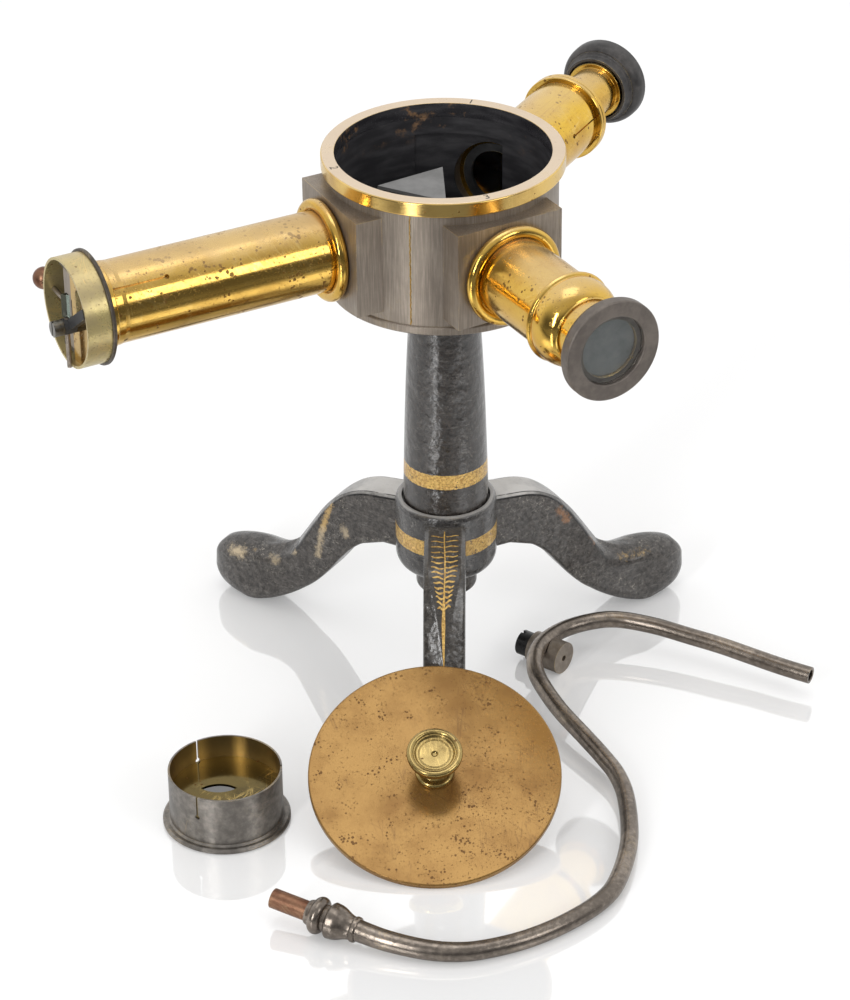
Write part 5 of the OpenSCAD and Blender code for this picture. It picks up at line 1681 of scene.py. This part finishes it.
@dataclass
class GasPipe:
    """The bent gas pipe with its fitting, nozzle and clamp."""

    r: float = 4.0
    thick_r: float = 4.8
    bore_r: float = 2.7
    fitting_r: float = 8.3
    fitting_len: float = 24.0
    nozzle_r: float = 4.4
    nozzle_len: float = 17.0
    line: tuple[Triple, ...] = (
        (169, -39, 11), (156, -32, 11.5), (143, -24, 12), (129, -16, 13), (114, -8, 13.5), (98, -0.5, 14.5),
        (81, 4.5, 15), (68, 3.5, 14.5), (55.5, -2, 14), (46, -11.5, 13.8), (41.5, -22, 13.8), (41, -36, 13),
        (45, -50, 12), (52, -66, 10.5), (61.5, -83, 9), (69.5, -97.5, 7.5), (75.5, -111.5, 6.5),
        (78.5, -129, 5.5), (78, -158, 4.5), (71.5, -185.5, 4.4), (63, -200.5, 4.4), (48, -214.5, 4.4),
        (31.5, -225, 4.4), (15, -231.5, 4.5), (2, -233.8, 4.7), (-12, -232.5, 5.2), (-28, -227.6, 6.2),
        (-40, -222, 7.4))

    def pipe(self, path: Array) -> Skin:
        """The pipe with its open end turned in: a ring p + r (cos a side + sin a up) at each point p.

        The rings start in the bore's floor, come out to the mouth and follow the path from there.

        Args:
            path: the pipe's middle line, from its open end.

        Returns:
            The closed surface.
        """
        share = np.linspace(0, 1, len(path))
        grow = np.clip((share - 0.75) / 0.25, 0, 1)
        radius = self.r + (self.thick_r - self.r) * grow**2
        out = -unit(path[1] - path[0])
        depth = np.array([11.5, 11.5, 6.0, 0.3, 0.02, 0.0, 0.0, 0.12])
        bore, r = self.bore_r, self.r
        inner = np.array([0.05, bore, bore, bore, bore + 0.25, r - 0.35, r - 0.12, r])
        mouth = path[0] - depth[:, None] * out
        whole = np.concatenate([mouth, path[1:]])
        sizes = np.concatenate([inner, radius[1:]])
        along = np.concatenate([np.tile(-out, (len(mouth), 1)), unit(np.gradient(path, axis=0))[1:]])
        side = unit(np.cross((0.0, 0.0, 1.0), along))
        up = np.cross(along, side)
        a = np.linspace(0, 2 * np.pi, 40, endpoint=False)[None, :, None]
        points = whole[:, None] + sizes[:, None, None] * (np.cos(a) * side[:, None] + np.sin(a) * up[:, None])
        step = np.linalg.norm(np.diff(whole, axis=0), axis=1)
        return grid_skin(points, poles=(True, True), length=np.concatenate([[0], np.cumsum(step)]) * 0.1)

    def build(self) -> None:
        """Makes the pipe, its fitting and nozzle, and dresses the clamp."""
        path = spline(self.line, 8)
        stand = Place.upright(0, 0)
        SHOP.make("bent_pipe", self.pipe(path), stand, PIPE, Body.GAS_PIPE, "gas_pipe")
        coarse = spline(self.line, 3)
        ahead = unit(coarse[-1] - coarse[-2])
        end = Place.aimed((STAND[0] + path[-1][0], STAND[1] + path[-1][1], path[-1][2]), ahead)
        r, p, n = self.fitting_r, self.thick_r, self.fitting_len
        fitting = ([(0, 0), (p + 0.5, 0), (p + 0.9, 0.6), (p + 0.9, 2), (p + 0.4, 2.6)]
                   + bow([(p + 0.4, 2.7), (p + 0.8, 6), (r - 1.2, 7), (r - 0.6, 10)], 14)
                   + arc((r - 2.2, 12), 2, 20, 90, 8) + [(r - 2.4, n - 8.4)]
                   + arc((r - 3, n - 5.2), 3, -80, 80, 14) + [(p + 0.8, n - 1), (p + 0.4, n), (0, n)])
        SHOP.make("pipe_union", lathe(fitting, 0.2, 96), end, PIPE, Body.GAS_PIPE, "pipe_fitting")
        q = self.nozzle_r
        tip = n + self.nozzle_len
        nozzle = [(0, n), (q, n), (q, tip), (q - 1.2, tip), (q - 1.2, n + 1), (0, n + 1)]
        SHOP.make("nozzle", lathe(nozzle, 0.25, 80), end, COPPER, Body.GAS_PIPE, "hose_nozzle")
        SHOP.dress(BRONZE_PLAIN, "clamp_barrel")
        SHOP.dress(BLACK_STEEL, "clamp_screw")


@dataclass
class Studio:
    """The pale floor, the soft light and the camera at the photograph's view.

    The camera's sizes are in millimetres and pixels, and the floor's and the lamps' in metres.
    """

    target: Triple = (-9.72, 0.0, 85.34)
    lit_spot: Triple = (0.0, 0.0, 0.12)
    table_half: float = 6.0
    painted_dark_front: Pair = (-0.46, -0.17)
    painted_far_front: Pair = (-0.60, -0.42)
    painted_glow_shift: Triple = (0.20, 0.22, 0.0)
    painted_glow_edge: Pair = (0.04, 0.15)
    elevation: float = 31.21
    roll: float = -0.66
    distance: float = 1668.03
    focal_px: float = 3592.23
    frame_px: float = 1000.0
    film: float = 36.0

    def camera(self) -> None:
        """Places the camera, looking along +Y and down."""
        e, r = math.radians(self.elevation), math.radians(self.roll)
        back = np.array([0.0, -math.cos(e), math.sin(e)])
        right, up = np.array([1.0, 0.0, 0.0]), np.array([0.0, math.sin(e), math.cos(e)])
        right, up = math.cos(r) * right + math.sin(r) * up, math.cos(r) * up - math.sin(r) * right
        spot = (np.array(self.target) + (*STAND, 0.0) + back * self.distance) * MM
        lens = bpy.data.cameras.new("view")
        lens.sensor_fit, lens.sensor_height = "VERTICAL", self.film
        lens.lens = self.focal_px / self.frame_px * self.film
        lens.clip_start, lens.clip_end = 0.05, 30.0
        camera = bpy.data.objects.new("view", lens)
        pose = np.vstack([np.column_stack([right, up, back, spot]), [0, 0, 0, 1]])
        camera.matrix_world = Matrix(pose.tolist())
        bpy.context.scene.collection.objects.link(camera)
        bpy.context.scene.camera = camera

    def lamp(self, name: str, spot: Triple, size: Pair, power: float) -> None:
        """A rectangular softbox that looks at the pillar.

        Args:
            name: the lamp's name.
            spot: where it hangs, in metres.
            size: its width and height, in metres.
            power: its power in watts.
        """
        light = bpy.data.lights.new(name, "AREA")
        light.shape, light.size, light.size_y, light.energy = "RECTANGLE", size[0], size[1], power
        holder = bpy.data.objects.new(name, light)
        aim = Vector(self.lit_spot) - Vector(spot)
        holder.location = spot
        holder.rotation_euler = aim.to_track_quat("-Z", "Y").to_euler()
        bpy.context.scene.collection.objects.link(holder)

    @staticmethod
    def grey(level: float) -> Colour:
        """A neutral colour."""
        return (level, level, level)

    def floor(self) -> None:
        """A wide table of glossy white acrylic, which mirrors what stands on it.

        The camera sees it white. What stands on it sees a painted reflection, dark in front and less dark
        farther out, and a painted glow to the left that only reflections see.
        """
        half = self.table_half
        mesh = bpy.data.meshes.new("table")
        corners = [(-half, -half, 0), (half, -half, 0), (half, half, 0), (-half, half, 0)]
        mesh.from_pydata(corners, [], [(0, 1, 2, 3)])
        table = bpy.data.objects.new("table", mesh)
        bpy.context.scene.collection.objects.link(table)
        made = bpy.data.materials.new("table_white")
        made.use_nodes = True
        n = Nodes(made.node_tree)
        path = n.add("LightPath")
        seen, mirror = (Wire(n, path.outputs[ray]) for ray in ("Is Camera Ray", "Is Glossy Ray"))
        y = n.axis(n.place(), "Y")
        # Painted reflection: for glossy rays the floor is dark in front and glows in a patch to the left.
        front = n.remap(y, *self.painted_dark_front, 1.0, 0.0) * mirror
        painted_reflection = n.mix(n.remap(y, *self.painted_far_front, 1.0, 0.0), self.grey(0.08), self.grey(0.26))
        away = n.vector(Op.LENGTH, n.place(shift=self.painted_glow_shift), out="Value")
        painted_glow = n.remap(away, *self.painted_glow_edge, 1.0, 0.0) * mirror
        colour = n.mix(front, self.grey(0.90), painted_reflection)
        shader = n.wire("BsdfPrincipled", {"Base Color": colour, "Roughness": 0.03, "IOR": 2.8,
                                           "Emission Color": self.grey(1.0),
                                           "Emission Strength": seen * 0.20 + painted_glow * 0.9})
        n.add("OutputMaterial", {"Surface": shader})
        mesh.materials.append(made)

    def sky(self) -> None:
        """White for the camera, a plain level for the light, and a dim low front for reflections."""
        world = bpy.data.worlds.new("studio")
        bpy.context.scene.world = world
        world.use_nodes = True
        n = Nodes(world.node_tree)
        path = n.add("LightPath")
        camera, mirror, through = (Wire(n, path.outputs[ray]) for ray in
                                   ("Is Camera Ray", "Is Glossy Ray", "Is Transmission Ray"))
        way = n.wire("TexCoord", out=Coords.SKY.value)
        front = n.remap(n.axis(way, "Y"), -0.45, 0.20, 1.0, 0.0)
        ahead = n.mix(n.remap(n.axis(way), 0.18, 0.72), (0.12, 0.12, 0.125), self.grey(0.60))
        seen = n.mix(mirror, self.grey(1.0), n.mix(front, self.grey(0.98), ahead))
        colour = n.mix(camera.top(mirror.top(through)), self.grey(0.70), seen)
        n.add("OutputWorld", {"Surface": n.wire("Background", {"Color": colour, "Strength": 1.0})})

    def build(self) -> None:
        """Sets the stage."""
        bpy.context.scene.view_settings.view_transform = "Standard"
        self.camera()
        self.floor()
        self.sky()
        self.lamp("key", (1.17, -0.94, 1.0), (0.6, 0.6), 3.6)
        self.lamp("strip", (-1.01, -1.71, 0.88), (0.21, 1.12), 13.7)
        self.lamp("top", (0.0, 0.1, 2.0), (1.0, 1.0), 3.8)


def main() -> None:
    """Builds the stage and every sub-assembly."""
    logging.basicConfig(level=logging.INFO, format="%(message)s")
    Studio().build()
    for part in (Tripod(), Pillar(), Drum(), MainTubes(), SlitHead(), ScaleTube(), Telescope(), Lid(), Cap(),
                 GasPipe()):
        LOG.info("building %s", type(part).__name__)
        part.build()


if __name__ == "__main__":
    main()
